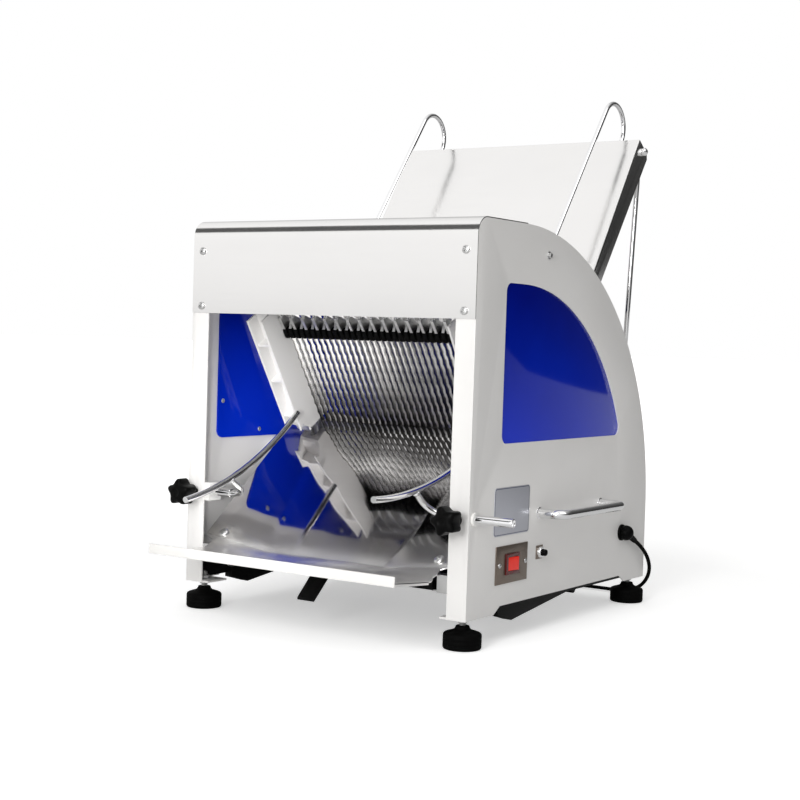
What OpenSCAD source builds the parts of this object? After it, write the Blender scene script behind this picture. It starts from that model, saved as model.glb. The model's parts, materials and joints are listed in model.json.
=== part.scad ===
// Counter-top bread slicer. A loaf slides down the infeed chute at the back, through two
// frames of blades that move against each other, and out onto the tray in front.
// Lengths are millimetres. x runs across, y from front to back, z up from the floor.

/* [Body] */
// Width over the side panels
body_w = 560; // [500:5:620]
// Depth of the side panels
body_d = 630; // [615:5:680]
// Height of the side panels' top edge
body_h = 657; // [640:1:680]
// Height of the side panels' bottom edge above the floor
leg_h = 46; // [42:1:52]
// Radius of the round back edge
back_r = 480; // [470:5:490]
// Radius of the top front corner
corner_r = 26; // [18:1:32]
// Thickness of the panel sheet
sheet_t = 2; // [1.5:0.1:2.5]
// Width of the front flange that forms a post
flange_w = 35; // [30:1:40]
// Rise of the bottom edge between the feet
arch_rise = 12; // [8:1:16]
// Length of the plain bottom edge at each foot
arch_end = 83; // [75:1:95]

/* [Window] */
// Front edge of the window behind the post's face
window_front = 90; // [80:1:100]
// Height of the window's lower edge
window_low = 312; // [306:1:330]
// Width of the panel left outside the window's round edge
window_edge = 95; // [80:1:105]
// Radius of the window's corners
window_corner = 14; // [8:1:18]
// How far the window plate reaches past the window
plate_over = 24; // [15:1:24]
// Thickness of the window plate
plate_t = 3; // [2:0.5:4]

/* [Covers] */
// Height of the front cover's lower edge, at the drawn panel height
cover_low = 503; // [495:1:520]
// Thickness of the front and rear cover sheet
cover_t = 1.5; // [1:0.1:2]
// Hem turned down at the back of the front cover
cover_hem = 12; // [8:1:20]

/* [Blades] */
// Number of blades
blade_count = 31; // [21:2:31]
// Distance between blades, which is the slice thickness
slice_t = 12; // [11:0.5:12]
// Width of a blade over its teeth
blade_w = 13; // [10:0.5:16]
// Thickness of a blade
blade_t = 0.8; // [0.6:0.1:1.2]
// Depth of the teeth
tooth_d = 1.6; // [1:0.1:2]
// Distance between teeth
tooth_pitch = 19; // [14:1:24]
// Lean of the blades from upright, top forward
blade_tilt = 32.5; // [31:0.5:34]
// Place where the blades meet the loaf's path, behind the post's face
cut_y = 250; // [245:1:255]
// Height where the blades meet the loaf's path
cut_z = 310; // [306:1:314]
// Clear length of the blades above the loaf's path, at the drawn panel height
blade_rise = 192; // [184:1:194]
// Half of the blades' stroke, which is the crank's throw
stroke = 15; // [10:1:16]
// Width of a blade hook
hook_w = 7; // [5:0.5:8]
// Height of a lower blade hook
hook_h = 14; // [10:1:18]
// Height of the upper blade hooks' grip on the blade
hook_grip = 20; // [16:1:24]
// Length of a blade hook across the blade
hook_d = 32; // [28:1:34]
// Radius of the stem between a hook and its frame bar
stem_r = 2; // [1.5:0.1:3]

/* [Blade frames] */
// Height of a frame's cross bars
bar_h = 28; // [22:1:32]
// Thickness of a frame's cross bars
bar_d = 14; // [12:1:16]
// Distance of each frame's bars from the blades' plane
bar_off = 13; // [12:0.5:14]
// Radius of the frames' guide rods
rod_r = 6; // [5:0.5:6.5]
// Running clearance of rods, shafts and pins
run_gap = 0.05; // [0.03:0.01:0.08]
// Gap between faces that move past each other
face_gap = 0.3; // [0.2:0.05:0.4]

/* [Guide columns] */
// Width of a guide column
col_w = 34; // [30:1:36]
// Wall of a guide column
col_wall = 4; // [3:0.5:5]
// Reach of the columns in front of the blades' plane
col_front = 55; // [48:1:60]
// Reach of the columns behind the blades' plane
col_back = 28; // [26:1:30]
// Height of the columns' foot above the loaf's path
col_low = 14; // [12:1:20]
// Length of a guide column, at the drawn panel height
col_len = 236; // [225:1:238]
// Height of a guide bush block
bush_h = 30; // [20:1:36]

/* [Infeed] */
// Width of the infeed chute
chute_w = 500; // [480:2:510]
// Length of the infeed chute along its slope
chute_len = 647; // [620:1:670]
// Lean of the chute from upright, top backward
chute_tilt = 33.7; // [32:0.1:35]
// Thickness of the chute sheet
chute_t = 2; // [1.5:0.1:2.5]
// Depth of the chute's side flanges at the top
chute_flange = 47; // [44:1:54]
// Radius of the press wires
wire_r = 4; // [3:0.5:5]
// Distance of each press wire from the middle
wire_x = 198; // [185:1:210]
// Radius of the loop that takes a wire over the chute's top edge
loop_r = 41; // [40:0.5:46]
// Length of a press wire's front leg
wire_leg = 455; // [400:5:480]
// Radius of the cross rod that carries the wires
cross_r = 5; // [4.5:0.5:6]
// Radius of the prop rods behind the chute
prop_r = 4.5; // [4:0.5:5.5]

/* [Outfeed] */
// Slope of the tray's floor
tray_tilt = 40; // [38:0.5:41]
// Thickness of the tray sheet
tray_t = 2; // [1.5:0.1:2.5]
// Height of the tray's shelf at its front edge
shelf_z = 112; // [108:1:116]
// How far the shelf falls from its front edge back to the bend
shelf_dip = 11; // [6:1:12]
// Reach of the shelf in front of the posts
shelf_reach = 134; // [120:1:145]
// Half the width of the tray's shelf
shelf_half = 240; // [234:1:244]
// Height of the white strip along the shelf's front edge
lip_h = 16; // [12:1:20]
// Thickness of that strip
lip_t = 3; // [2:0.5:4]
// Radius of the tray screws' heads
tray_screw_r = 8.5; // [6:0.5:10]

/* [Guide arms] */
// Radius of the chrome arm rod
arm_r = 5; // [4:0.5:5.5]
// Radius of the sleeve that the arm turns in
sleeve_r = 7; // [6.8:0.1:8]
// Length of that sleeve
sleeve_len = 110; // [100:1:116]
// Height of the sleeves
arm_z = 201; // [197:1:205]
// Distance of the sleeves behind the posts' face
arm_y = 16; // [15:0.5:20]
// Distance of the right arm from the middle
arm_x = 200; // [190:1:204]
// Radius of the bend between an arm and its cross rod
arm_bend = 36; // [30:1:40]
// How far the left arm is pushed in further than the right
arm_shift = 40; // [30:1:44]
// Tilt of the right arm, nose up
arm_tilt = 11.3; // [0:0.1:14]
// Radius of the arm's long curve
arm_curve = 550; // [500:10:600]
// Outer radius of the star knobs
knob_r = 23; // [20:0.5:26]
// Depth of the star knobs
knob_h = 28; // [24:1:32]
// Radius of the knobs' screws
screw_r = 4; // [3:0.5:5]

/* [Drive] */
// Distance of the crankshaft below the loaf's path, along the blades
crank_drop = 230; // [226:1:234]
// Radius of the crankshaft
shaft_r = 10; // [8:0.5:11]
// Radius of the crank discs
disc_r = 32; // [28:1:36]
// Thickness of the crank discs
disc_t = 14; // [10:1:16]
// Radius of the driven pulley
driven_r = 48; // [44:1:50]
// Radius of the motor pulley
drive_r = 24; // [22:1:25]
// Radius of the motor's body
motor_r = 52; // [46:1:56]
// Length of the motor's body
motor_len = 130; // [100:5:135]
// Distance of the motor's axis in front of the panels' back edge
motor_back = 75; // [65:1:80]
// Height of the motor's axis
motor_z = 130; // [126:1:140]

/* [Crumb drawer] */
// Half the width of the crumb drawer
drawer_half = 200; // [180:2:202]
// Length of the crumb drawer
drawer_len = 270; // [240:5:275]
// Height of the crumb drawer's walls
drawer_h = 15; // [12:1:16]
// Width of the black pull tab
tab_w = 34; // [26:1:44]

/* [Fittings] */
// Radius of the carry handles' bar
grip_r = 8; // [6:0.5:8.5]
// Reach of the carry handles from the panel
grip_reach = 52; // [46:1:60]
// Length of the carry handles between their legs
grip_len = 221; // [200:1:230]
// Radius of the rubber feet
foot_r = 30; // [24:1:34]
// Width of the switch plate
switch_w = 100; // [90:1:104]
// Height of the switch plate
switch_h = 60; // [52:1:64]
// Width of the rating plate
rating_w = 111; // [90:1:114]
// Height of the rating plate
rating_h = 76; // [60:1:80]
// Radius of the reset button
button_r = 5.5; // [4.5:0.5:6.5]

/* [Cord] */
// Radius of the mains cord
cord_r = 3.5; // [3:0.1:4]
// Radius of the coil at the start of its outer turn
coil_r = 46; // [44:1:48]
// Turns of cord in the coil
coil_turns = 4.5; // [2.5:2:6.5]
// Distance between neighbouring turns
coil_pitch = 7.8; // [7.6:0.1:8.4]

/* [Hidden] */
$fn = 64;

// The origin is below the middle of the machine's box, measured without the cord
origin_x = 8;
origin_y = 254.5;

// The blades, columns and front cover take this share of any change from the drawn panel height
drawn_h = 657;
grow_share = 0.4;
grow = grow_share * (body_h - drawn_h);
cover_edge = cover_low + grow;
blade_top = blade_rise + grow;
col_run = col_len + grow;

half_w = body_w / 2;
panel_in = half_w - sheet_t;
plate_in = panel_in - plate_t;
arc_y = body_d - back_r;
arc_z = body_h - back_r;
post_in = half_w - flange_w;
top_flange = 18;
arch_run = 19;
rail_front = arch_end + arch_run - 2;
rail_heel = body_d - 297;
rail_back = body_d - 62;
seat_gap = 0.3;

// Feet
foot_x = half_w - 20;
foot_y = 25;
foot_plate = 3;
foot_plate_w = 46;
foot_plate_d = 48;
stud_r = 5;
pad_h = leg_h - 10;
stud_top = leg_h + 16;

// Blades and their frames, measured across (n) and along (u) the blades' plane
blade_span = (blade_count - 1) * slice_t;
tang = 6;
slot_gap = 0.05;
stem_len = 2 * stroke + face_gap + 5.7;
hook_low = -32;
hook_neck = 5;
hook_up = 44;
bar_high = blade_top + hook_up + stem_len;
bar_low = hook_low - hook_h - stem_len;
col_in = blade_span / 2 + hook_w / 2 + 2.5;
rod_x = col_in + col_w / 2;
bar_half = rod_x + rod_r + 5;
web_t = 4;
web_n = bar_off + bar_d + web_t;
rib_t = 4;
rib_first = col_low + 37;
rib_pitch = (col_run - 90) / 2;

// Crank and drive
crank_y = cut_y + crank_drop * sin(blade_tilt);
crank_z = cut_z - crank_drop * cos(blade_tilt);
disc_x = 98;
rod_t = 12;
lug_w = 13.7;
eye_x = disc_x + disc_t + 8;
pin_r = 6;
wrist_r = 5;
wrist_u = bar_low - bar_h - 12;
eye_r = 14;
pulley_w = 16;
groove_w = 10;
belt_w = groove_w - 2 * face_gap;
belt_d = 9;
plate_z = 60;
plate_front = crank_y - 58;
plate_back = body_d - 35;
motor_plate_t = 4;
motor_x = eye_x + rod_t + 10;
motor_y = body_d - motor_back;
motor_shaft_r = 9;
bearing_x = 62;
bearing_w = 28;

// Infeed chute, measured behind the board (d) and along it (s)
chute_low = 10;
chute_notch = 36;
chute_half = chute_w / 2;
flange_start = 170;
flange_low = 30;
lug_len = 27;
lug_in = 6;
cross_d = 24.5;
cross_s = chute_len - 9;
cross_pin_r = cross_r - 1;
slope_y = cut_y - arc_y;
slope_z = cut_z - arc_z;
along = slope_y * sin(chute_tilt) + slope_z * cos(chute_tilt);
lug_top = sqrt(along * along - slope_y * slope_y - slope_z * slope_z + pow(back_r - lug_in, 2)) - along;
loop_s = cross_s + 29;
leg_tilt = 2.7;
prop_x = chute_half - chute_t - face_gap - prop_r;
prop_eye_r = 9;
prop_eye_t = 6;
eye_in = prop_x - prop_eye_t / 2;
eye_out = prop_x + prop_eye_t / 2;
cross_y = cut_y + cross_s * sin(chute_tilt) + cross_d * cos(chute_tilt);
cross_z = cut_z + cross_s * cos(chute_tilt) - cross_d * sin(chute_tilt);
rail = 25;
prop_rail_y = body_d - 63;
prop_rail_z = arc_z + 141;
prop_foot_y = prop_rail_y + 16;
prop_foot_z = prop_rail_z + rail;
prop_lean = atan2(cross_y - prop_foot_y, cross_z - prop_foot_z);

// Outfeed tray
shelf_fall = atan(shelf_dip / shelf_reach);
bend_y = (shelf_z - shelf_dip - cut_z + cut_y * tan(tray_tilt)) / (tan(tray_tilt) + tan(shelf_fall));
bend_r = 45;
bend_run = bend_r * tan((tray_tilt + shelf_fall) / 2);
bend_start = bend_y - bend_run * cos(shelf_fall);
bend_end = bend_y + bend_run * cos(tray_tilt);
bend_mid = bend_start + bend_r * sin(shelf_fall);
wing_slope = 0.137;
fold_rate = 0.242;
wing_pitch = atan(tan(tray_tilt) - wing_slope * fold_rate);
tray_rear = cut_y - (blade_w / 2 + 2.5) * cos(tray_tilt);
tray_notch = cut_y - (bar_off + rod_r + 5) * cos(tray_tilt);
tray_half = half_w - 32;
tray_neck = post_in - 17;
tray_screw_x = 216;
tray_screw_y = 22;
tray_side = 1.5;

// Guide arms and knobs
knob_x = half_w - flange_w / 2;
knob_y = -24;
sleeve_end = half_w + 68;
block_w = 43;
block_d = 30;
block_h = 30;
joint_reach = 59;
weld = 0.06;
weld_run = 1.5;
joint_lift = 149.5;
joint_slope = 20;
arm_front = 11.5;
arm_rear = 21.6;

// Crumb drawer
drawer_z = shelf_z - shelf_dip - tray_t - drawer_h - 2;
drawer_front = 30;
drawer_wall = 1.5;
runner_t = 3;
tab_t = 4;
tab_start = 21.5;
tab_reach = 38.5;
tab_drop = 37;

// Fittings on the right panel
grip_y = 220;
grip_z = 195;
grip_bend = 18;
switch_y = 133;
switch_z = 122;
switch_t = 1.5;
bezel_w = 42;
bezel_h = 33;
bezel_t = 2.5;
rocker_w = 34;
rocker_h = 25;
rocker_tilt = 8;
pivot_r = 1.5;
reset_y = 224;
reset_z = 131;
rating_y = 129.5;
rating_z = 206;
rating_t = 0.8;
tie_y = 222;
tie_z = body_h - 45;
tie_r = 8;

// Mains cord: the gland's outlet, points round the panel's back edge, then straight to the coil
gland_y = body_d - 100;
gland_z = 136;
gland_ball = 13.5;
gland_drop = 25;
relief_len = 30;
relief_out = gland_ball - 1 + relief_len;
cord_x = half_w + 10;
cord_dir = [0, cos(gland_drop), -sin(gland_drop)];
cord_exit = [cord_x, gland_y, gland_z] + relief_out * cord_dir;
coil_x = 10;
coil_y = body_d + 98;
coil_z = 5;
coil_lift = 7.8;
lane = [for (i = [1 : 8]) let (start = half_w - 82, end = coil_x + 2 * cord_r)
    [start + (end - start) * i / 8, coil_y - coil_r, coil_z]];
cord_points = concat(
    [cord_exit, cord_exit + 14 * cord_dir],
    [for (p = [[10, -32, 103], [10, -16, 92], [9, 0, 78], [6, 14, 62], [-1, 26, 46], [-12, 36, 31],
               [-26, 44, 19], [-43, 49, 11], [-62, 51, 6], [-82, 52, 5]]) p + [half_w, body_d, 0]],
    lane
);
plug_w = 26;
plug_len = 38;
plug_neck = 22;
plug_z = coil_z + coil_lift;

white = "whitesmoke";
blue = [0.02, 0.08, 0.55];
steel = "silver";
chrome = "gainsboro";
black = [0.08, 0.08, 0.08];

module place() translate([-origin_x, -origin_y, 0]) children();

// The right side as drawn, or its mirror image on the left
module on_side(side) {
    if (side < 0) mirror([1, 0, 0]) children();
    else children();
}

module box(low, high) translate(low) cube(high - low);

module rod_along_x(r, x0, x1) translate([x0, 0, 0]) rotate([0, 90, 0]) cylinder(r = r, h = x1 - x0);

module rod_along_y(r, y0, y1) translate([0, y0, 0]) rotate([-90, 0, 0]) cylinder(r = r, h = y1 - y0);

// Extrudes an outline drawn in y and z from x0 to x1
module slab(x0, x1) translate([x0, 0, 0]) rotate([90, 0, 90]) linear_extrude(x1 - x0) children();

// Frame of the blades: y across them, z along them
module at_blades() translate([0, cut_y, cut_z]) rotate([blade_tilt, 0, 0]) children();

// Frame of the chute: y behind the board, z up along it
module at_chute() translate([0, cut_y, cut_z]) rotate([-chute_tilt, 0, 0]) children();

// Rounded D of the window, its round side concentric with the panel's back edge
module window_outline(front, low, r, corner) {
    fillet_z = low + corner;
    fillet_y = arc_y + sqrt(pow(r - corner, 2) - pow(fillet_z - arc_z, 2));
    out = [fillet_y - arc_y, fillet_z - arc_z] / (r - corner);
    high = arc_z + r;
    difference() {
        union() {
            translate([front, low]) square([arc_y - front, high - low]);
            intersection() {
                translate([arc_y, arc_z]) circle(r = r, $fn = 180);
                translate([arc_y - 1, low]) square(r + 1);
            }
        }
        polygon([[fillet_y, fillet_z], [fillet_y, low - 1], [fillet_y + r, low - 1],
                 [arc_y, arc_z] + (r + 2) * out]);
        for (z = [low, high - corner]) translate([front - 1, z - 1]) square(corner + 1);
        translate([front - 1, high - corner]) square([corner + 1, corner + 1]);
    }
    translate([fillet_y, fillet_z]) circle(r = corner);
    for (z = [low + corner, high - corner]) translate([front + corner, z]) circle(r = corner);
}

module window_hole() {
    window_outline(window_front, window_low, back_r - window_edge, window_corner);
}

module plate_outline() {
    window_outline(window_front - plate_over, window_low - plate_over,
                   back_r - window_edge + plate_over, window_corner);
}

module panel_outline() {
    difference() {
        union() {
            translate([corner_r, leg_h]) square([arc_y - corner_r, body_h - leg_h]);
            translate([0, leg_h]) square([corner_r, body_h - leg_h - corner_r]);
            translate([corner_r, body_h - corner_r]) circle(r = corner_r);
            translate([arc_y, leg_h]) square([back_r, arc_z - leg_h]);
            intersection() {
                translate([arc_y, arc_z]) circle(r = back_r, $fn = 180);
                translate([arc_y - 1, arc_z - 1]) square(back_r + 2);
            }
        }
        polygon([[arch_end, leg_h - 1], [arch_end, leg_h], [arch_end + arch_run, leg_h + arch_rise],
                 [body_d - arch_end - arch_run, leg_h + arch_rise], [body_d - arch_end, leg_h],
                 [body_d - arch_end, leg_h - 1]]);
    }
}

module side_panel(fittings) {
    difference() {
        union() {
            slab(panel_in, half_w) panel_outline();
            box([post_in, 0, leg_h], [half_w, sheet_t, body_h - corner_r]);
            box([post_in, body_d - sheet_t, leg_h], [half_w, body_d, arc_z]);
            box([half_w - top_flange, corner_r, body_h - sheet_t], [half_w, arc_y, body_h]);
            for (y = [sheet_t, body_d - sheet_t - foot_plate_d])
                box([panel_in - foot_plate_w, y, leg_h],
                    [panel_in, y + foot_plate_d, leg_h + foot_plate]);
        }
        slab(panel_in - 1, half_w + 1) window_hole();
        for (y = [foot_y, body_d - foot_y])
            translate([foot_x, y, leg_h - 1]) cylinder(r = stud_r + seat_gap, h = foot_plate + 2);
        translate([0, arm_y, arm_z]) rod_along_x(sleeve_r + 1, panel_in - 1, half_w + 1);
        translate([knob_x, 0, arm_z]) rod_along_y(screw_r + 0.5, -1, sheet_t + 1);
        if (fittings) {
            box([panel_in - 1, switch_y - rocker_w / 2 - 1, switch_z - rocker_h / 2 - 1],
                [half_w + 1, switch_y + rocker_w / 2 + 1, switch_z + rocker_h / 2 + 1]);
            translate([0, reset_y, reset_z]) rod_along_x(button_r + 1, panel_in - 1, half_w + 1);
        }
    }
}

module left_side_panel() place() color(white) on_side(-1) side_panel(false);

module right_side_panel() place() color(white) side_panel(true);

module window_plate() slab(plate_in, panel_in) plate_outline();

module left_window_plate() place() color(blue) on_side(-1) window_plate();

module right_window_plate() place() color(blue) window_plate();

// Folded sheet over the front and top, lying on the panels' flanges
module front_cover() place() color(steel) {
    outer = corner_r + cover_t;
    slab(-half_w, half_w) {
        translate([-cover_t, cover_edge]) square([cover_t, body_h - corner_r - cover_edge]);
        translate([corner_r, body_h]) square([arc_y - corner_r, cover_t]);
        intersection() {
            translate([corner_r, body_h - corner_r]) difference() {
                circle(r = outer);
                circle(r = corner_r);
            }
            translate([-cover_t, body_h - corner_r]) square(outer);
        }
    }
    box([-half_w + top_flange + seat_gap, arc_y - cover_t, body_h - cover_hem],
        [half_w - top_flange - seat_gap, arc_y, body_h + cover_t]);
}

// Curved sheet between the panels, with holes for the prop rods
module rear_cover() place() color(white) {
    outer = back_r - sheet_t;
    difference() {
        slab(seat_gap - panel_in, panel_in - seat_gap) {
            intersection() {
                translate([arc_y, arc_z]) difference() {
                    circle(r = outer, $fn = 180);
                    circle(r = outer - cover_t, $fn = 180);
                }
                translate([arc_y, arc_z]) square([outer + 1, outer * 0.77]);
            }
            translate([arc_y + outer - cover_t, leg_h + foot_plate + 8])
                square([cover_t, arc_z - leg_h - foot_plate - 8]);
        }
        for (side = [-1, 1]) on_side(side) prop_line(prop_r + 4, -20);
    }
}

module screw_head(r, h) {
    difference() {
        union() {
            cylinder(r = r, h = h * 0.55);
            translate([0, 0, h * 0.55]) cylinder(r1 = r, r2 = r * 0.7, h = h * 0.45);
        }
        translate([-r * 0.6, -r * 0.1, h * 0.6]) cube([r * 1.2, r * 0.2, h]);
        translate([-r * 0.1, -r * 0.6, h * 0.6]) cube([r * 0.2, r * 1.2, h]);
    }
}

// Heads of the screws in the front cover, window plates and switch plate, and of the tie bar's bolts
module panel_screws() place() color(steel) {
    head_r = 6.5;
    small_r = 4;
    for (side = [-1, 1], z = [cover_edge + 12, body_h - corner_r - 24])
        translate([side * (half_w - 20), -cover_t, z]) rotate([90, 0, 0]) screw_head(head_r, 3.5);
    edge = plate_over / 2;
    mid_r = back_r - window_edge + edge;
    for (side = [-1, 1]) on_side(side) {
        for (p = [[window_front - edge, window_low + 40], [window_front - edge, arc_z + mid_r - 60],
                  [window_front + 90, window_low - edge], [arc_y + 220, window_low - edge],
                  [arc_y + mid_r * sin(25), arc_z + mid_r * cos(25)],
                  [arc_y + mid_r * sin(55), arc_z + mid_r * cos(55)]])
            translate([plate_in, p[0], p[1]]) rotate([0, -90, 0]) screw_head(small_r, 2.5);
    }
    for (y = [switch_y - 39, switch_y + 43])
        translate([half_w + switch_t, y, switch_z]) rotate([0, 90, 0]) screw_head(small_r, 2.5);
    for (side = [-1, 1]) on_side(side)
        translate([half_w, tie_y, tie_z]) rotate([0, 90, 0]) {
            cylinder(r = 6.5, h = 1);
            cylinder(r = 4.6, h = 5, $fn = 6);
        }
}

// Round bar between the panels near the top
module tie_bar() place() color(steel) translate([0, tie_y, tie_z]) rod_along_x(tie_r, -panel_in, panel_in);

// Square cross rails: one above and one below the blades, one under the tray, one at the back
module frame_rails() place() color(white) {
    at_blades() {
        box([-plate_in, col_back + seat_gap, col_low + col_run - 28],
            [plate_in, col_back + seat_gap + rail, col_low + col_run - 28 + rail]);
        box([-plate_in, col_back + seat_gap, -50], [plate_in, col_back + seat_gap + rail, rail - 50]);
        box([-panel_in, -60, -rail - 10.3], [panel_in, rail - 60, -10.3]);
    }
    box([-panel_in, prop_rail_y, prop_rail_z], [panel_in, prop_rail_y + rail, prop_rail_z + rail]);
}

// Tapered black rails along the bottom of both panels, which carry the motor's plate, with gussets
// behind the posts
module base_rails() place() color(black) for (side = [-1, 1]) on_side(side) {
    slab(panel_in - 16, panel_in - seat_gap)
        polygon([[rail_front, plate_z], [rail_front, 42], [rail_front + 44, 30], [rail_heel, 53],
                 [rail_back, 53], [rail_back, plate_z]]);
    gusset_z = leg_h + foot_plate + seat_gap;
    slab(panel_in - 6, panel_in - seat_gap)
        polygon([[36, gusset_z], [rail_front + 2, gusset_z], [rail_front + 2, plate_z],
                 [rail_front - 20, plate_z + 18], [36, plate_z + 18]]);
    translate([0, rail_heel + 42, 52]) rod_along_x(8, panel_in - 30, panel_in - 10);
}

// H-shaped guide column with ribs in front of its web
module guide_column() {
    high = col_low + col_run;
    at_blades() difference() {
        union() {
            for (x = [col_in, col_in + col_w - col_wall])
                box([x, -col_front, col_low], [x + col_wall, col_back, high]);
            box([col_in, -web_n, col_low], [col_in + col_w, web_t - web_n, high]);
            for (i = [0 : 2])
                translate([col_in, -col_front + 3, rib_first + i * rib_pitch])
                    cube([col_w, col_front - web_n, rib_t]);
            box([col_in + col_w - col_wall, 10, -50], [col_in + col_w, col_back, col_low + 1]);
        }
        translate([col_in - 1, -col_front, col_low]) rotate([45, 0, 0])
            translate([0, -20, -20]) cube([col_w + 2, 40, 28]);
    }
}

module left_guide_column() place() color(white) on_side(-1) guide_column();

module right_guide_column() place() color(white) guide_column();

// Nylon blocks inside the columns, each bored for a rod of both frames
module guide_bushes() place() color("ivory") for (side = [-1, 1]) on_side(side)
    at_blades() difference() {
        for (u = [col_low + 2, col_low + col_run - bush_h - 6])
            box([col_in + col_wall, web_t - web_n, u],
                [col_in + col_w - col_wall, web_n - web_t, u + bush_h]);
        for (n = [-bar_off, bar_off])
            translate([rod_x, n, 0]) cylinder(r = rod_r + run_gap, h = col_low + col_run);
    }

// Board with a turned-back top edge, tapered side flanges and two lugs on the panels
module infeed_chute() place() color(steel) at_chute() {
    notch = col_in - 1.5;
    difference() {
        union() {
            box([-chute_half, 0, chute_low], [chute_half, chute_t, chute_len]);
            box([-chute_half, 0, chute_len - chute_t], [chute_half, 14, chute_len]);
            for (side = [-1, 1]) on_side(side) {
                slab(chute_half - chute_t, chute_half)
                    polygon([[0, flange_start], [flange_low, flange_start + 60],
                             [chute_flange, chute_len - 8], [chute_flange - 8, chute_len],
                             [0, chute_len]]);
                box([chute_half - 1, 0, lug_top - lug_len], [panel_in - seat_gap, chute_t, lug_top]);
            }
        }
        for (side = [-1, 1]) on_side(side) {
            box([notch, -1, 0], [half_w, chute_t + 1, chute_notch]);
            translate([0, cross_d, cross_s])
                rod_along_x(cross_pin_r + run_gap, chute_half - chute_t - 1, chute_half + 1);
        }
    }
}

// A prop rod's axis, from the cross rod's height down to the rail and past it by "extra"
module prop_line(r, extra) {
    run = sqrt(pow(cross_y - prop_foot_y, 2) + pow(cross_z - prop_foot_z, 2));
    translate([prop_x, prop_foot_y, prop_foot_z]) rotate([-prop_lean, 0, 0])
        translate([0, 0, extra]) cylinder(r = r, h = run - prop_eye_r - extra + 1);
}

module chute_props() place() color(chrome) for (side = [-1, 1]) on_side(side) {
    difference() {
        union() {
            prop_line(prop_r, -5);
            translate([0, cross_y, cross_z]) rod_along_x(prop_eye_r, eye_in, eye_out);
        }
        translate([0, cross_y, cross_z]) {
            rod_along_x(cross_pin_r + run_gap, eye_in - 1, eye_out + 1);
            rod_along_x(prop_eye_r, eye_in - 20, eye_in);
            rod_along_x(prop_eye_r, eye_out, eye_out + 20);
        }
        box([prop_x - 10, prop_foot_y - 20, prop_foot_z - 20],
            [prop_x + 10, prop_foot_y + 20, prop_foot_z]);
    }
}

// Height of the tray along its middle, and of its folded wings further out
function shelf_line(y) = shelf_z - (y + shelf_reach) * tan(shelf_fall);
function tray_mid(y) = y <= bend_start ? shelf_line(y)
    : y <= bend_end ? shelf_line(bend_start) + bend_r * cos(shelf_fall)
        - sqrt(bend_r * bend_r - pow(y - bend_mid, 2))
    : cut_z + (y - cut_y) * tan(tray_tilt);
function fold_x(y) = 174 - (235 - y) * fold_rate;
function wing_rise(y) = y >= bend_end ? wing_slope : max(0.03, wing_slope - (bend_end - y) * 0.0022);
function tray_z(x, y) = tray_mid(y) + max(0, abs(x) - fold_x(y)) * wing_rise(y);

// Sheet over rows of points across the tray, each row [y, half width]
module outfeed_tray() place() color(steel) {
    rows = [[-shelf_reach, shelf_half], [-44, shelf_half], [-32, shelf_half - 3], [-22, tray_neck + 5],
            [bend_start, tray_neck], [bend_y - 8, tray_neck], [bend_y, tray_neck], [bend_y + 6, tray_neck],
            [bend_end - 3, tray_half], [bend_end, tray_half], [tray_notch - 0.5, tray_half],
            [tray_notch, col_in - 2], [tray_rear, col_in - 2]];
    count = len(rows);
    xs = [for (row = rows) let (f = min(fold_x(row[0]), row[1] - 2)) [-row[1], -f, f, row[1]]];
    top = [for (i = [0 : count - 1], x = xs[i]) [x, rows[i][0], tray_z(x, rows[i][0])]];
    points = concat(top, [for (p = top) p - [0, 0, tray_t]]);
    low = 4 * count;
    surface = [for (i = [0 : count - 2], j = [0 : 2])
        let (a = 4 * i + j) each [[a, a + 4, a + 5], [a, a + 5, a + 1]]];
    under = [for (f = surface) [f[2], f[1], f[0]] + [low, low, low]];
    rim = concat([for (j = [0 : 2]) j], [for (i = [0 : count - 2]) 4 * i + 3],
                 [for (j = [3 : -1 : 1]) 4 * (count - 1) + j], [for (i = [count - 1 : -1 : 1]) 4 * i]);
    turns = len(rim);
    side = [for (k = [0 : turns - 1]) let (a = rim[k], b = rim[(k + 1) % turns])
        each [[a, b, b + low], [a, b + low, a + low]]];
    polyhedron(points, concat(surface, under, side));
    for (s = [-1, 1]) on_side(s)
        slab(shelf_half - tray_side, shelf_half)
            polygon([[-shelf_reach, shelf_z - 2], [-shelf_reach, tray_z(shelf_half, -shelf_reach)],
                     [-44, tray_z(shelf_half, -44)], [-44, tray_z(shelf_half, -44) - 5]]);
}

module tray_lip() place() color("white")
    box([-shelf_half, -shelf_reach - lip_t, shelf_z - tray_t],
        [shelf_half, -shelf_reach, shelf_z - tray_t + lip_h]);

module tray_screws() place() color(chrome) for (side = [-1, 1]) on_side(side)
    translate([tray_screw_x, tray_screw_y, tray_z(tray_screw_x, tray_screw_y)])
        rotate([wing_pitch, 0, 0]) rotate([0, -atan(wing_slope * cos(wing_pitch)), 0])
            translate([0, 0, seat_gap]) screw_head(tray_screw_r, 5);

// Angles behind the posts that carry the tray's front corners
module tray_brackets() place() color(steel) for (side = [-1, 1]) on_side(side) {
    edge = drawer_half + 6;
    front = sheet_t + seat_gap;
    top = tray_z(edge, front) - tray_t - seat_gap;
    box([edge, front, top - 3], [post_in - 2, 24, top]);
    box([post_in - 20, sheet_t + seat_gap, top - 28], [panel_in - 2, sheet_t + seat_gap + 3, top]);
}

module drawer_runners() place() color(steel) for (side = [-1, 1]) on_side(side) {
    low = drawer_z - face_gap - runner_t;
    back = drawer_front + drawer_len + 10;
    box([drawer_half - 8, 40, low], [panel_in - seat_gap, back, low + runner_t]);
    box([drawer_half + 3, 40, low], [drawer_half + 5, back, low + runner_t + 9]);
}

module motor_plate() place() color(steel)
    box([seat_gap - panel_in, plate_front, plate_z],
        [panel_in - seat_gap, plate_back, plate_z + motor_plate_t]);

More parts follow.
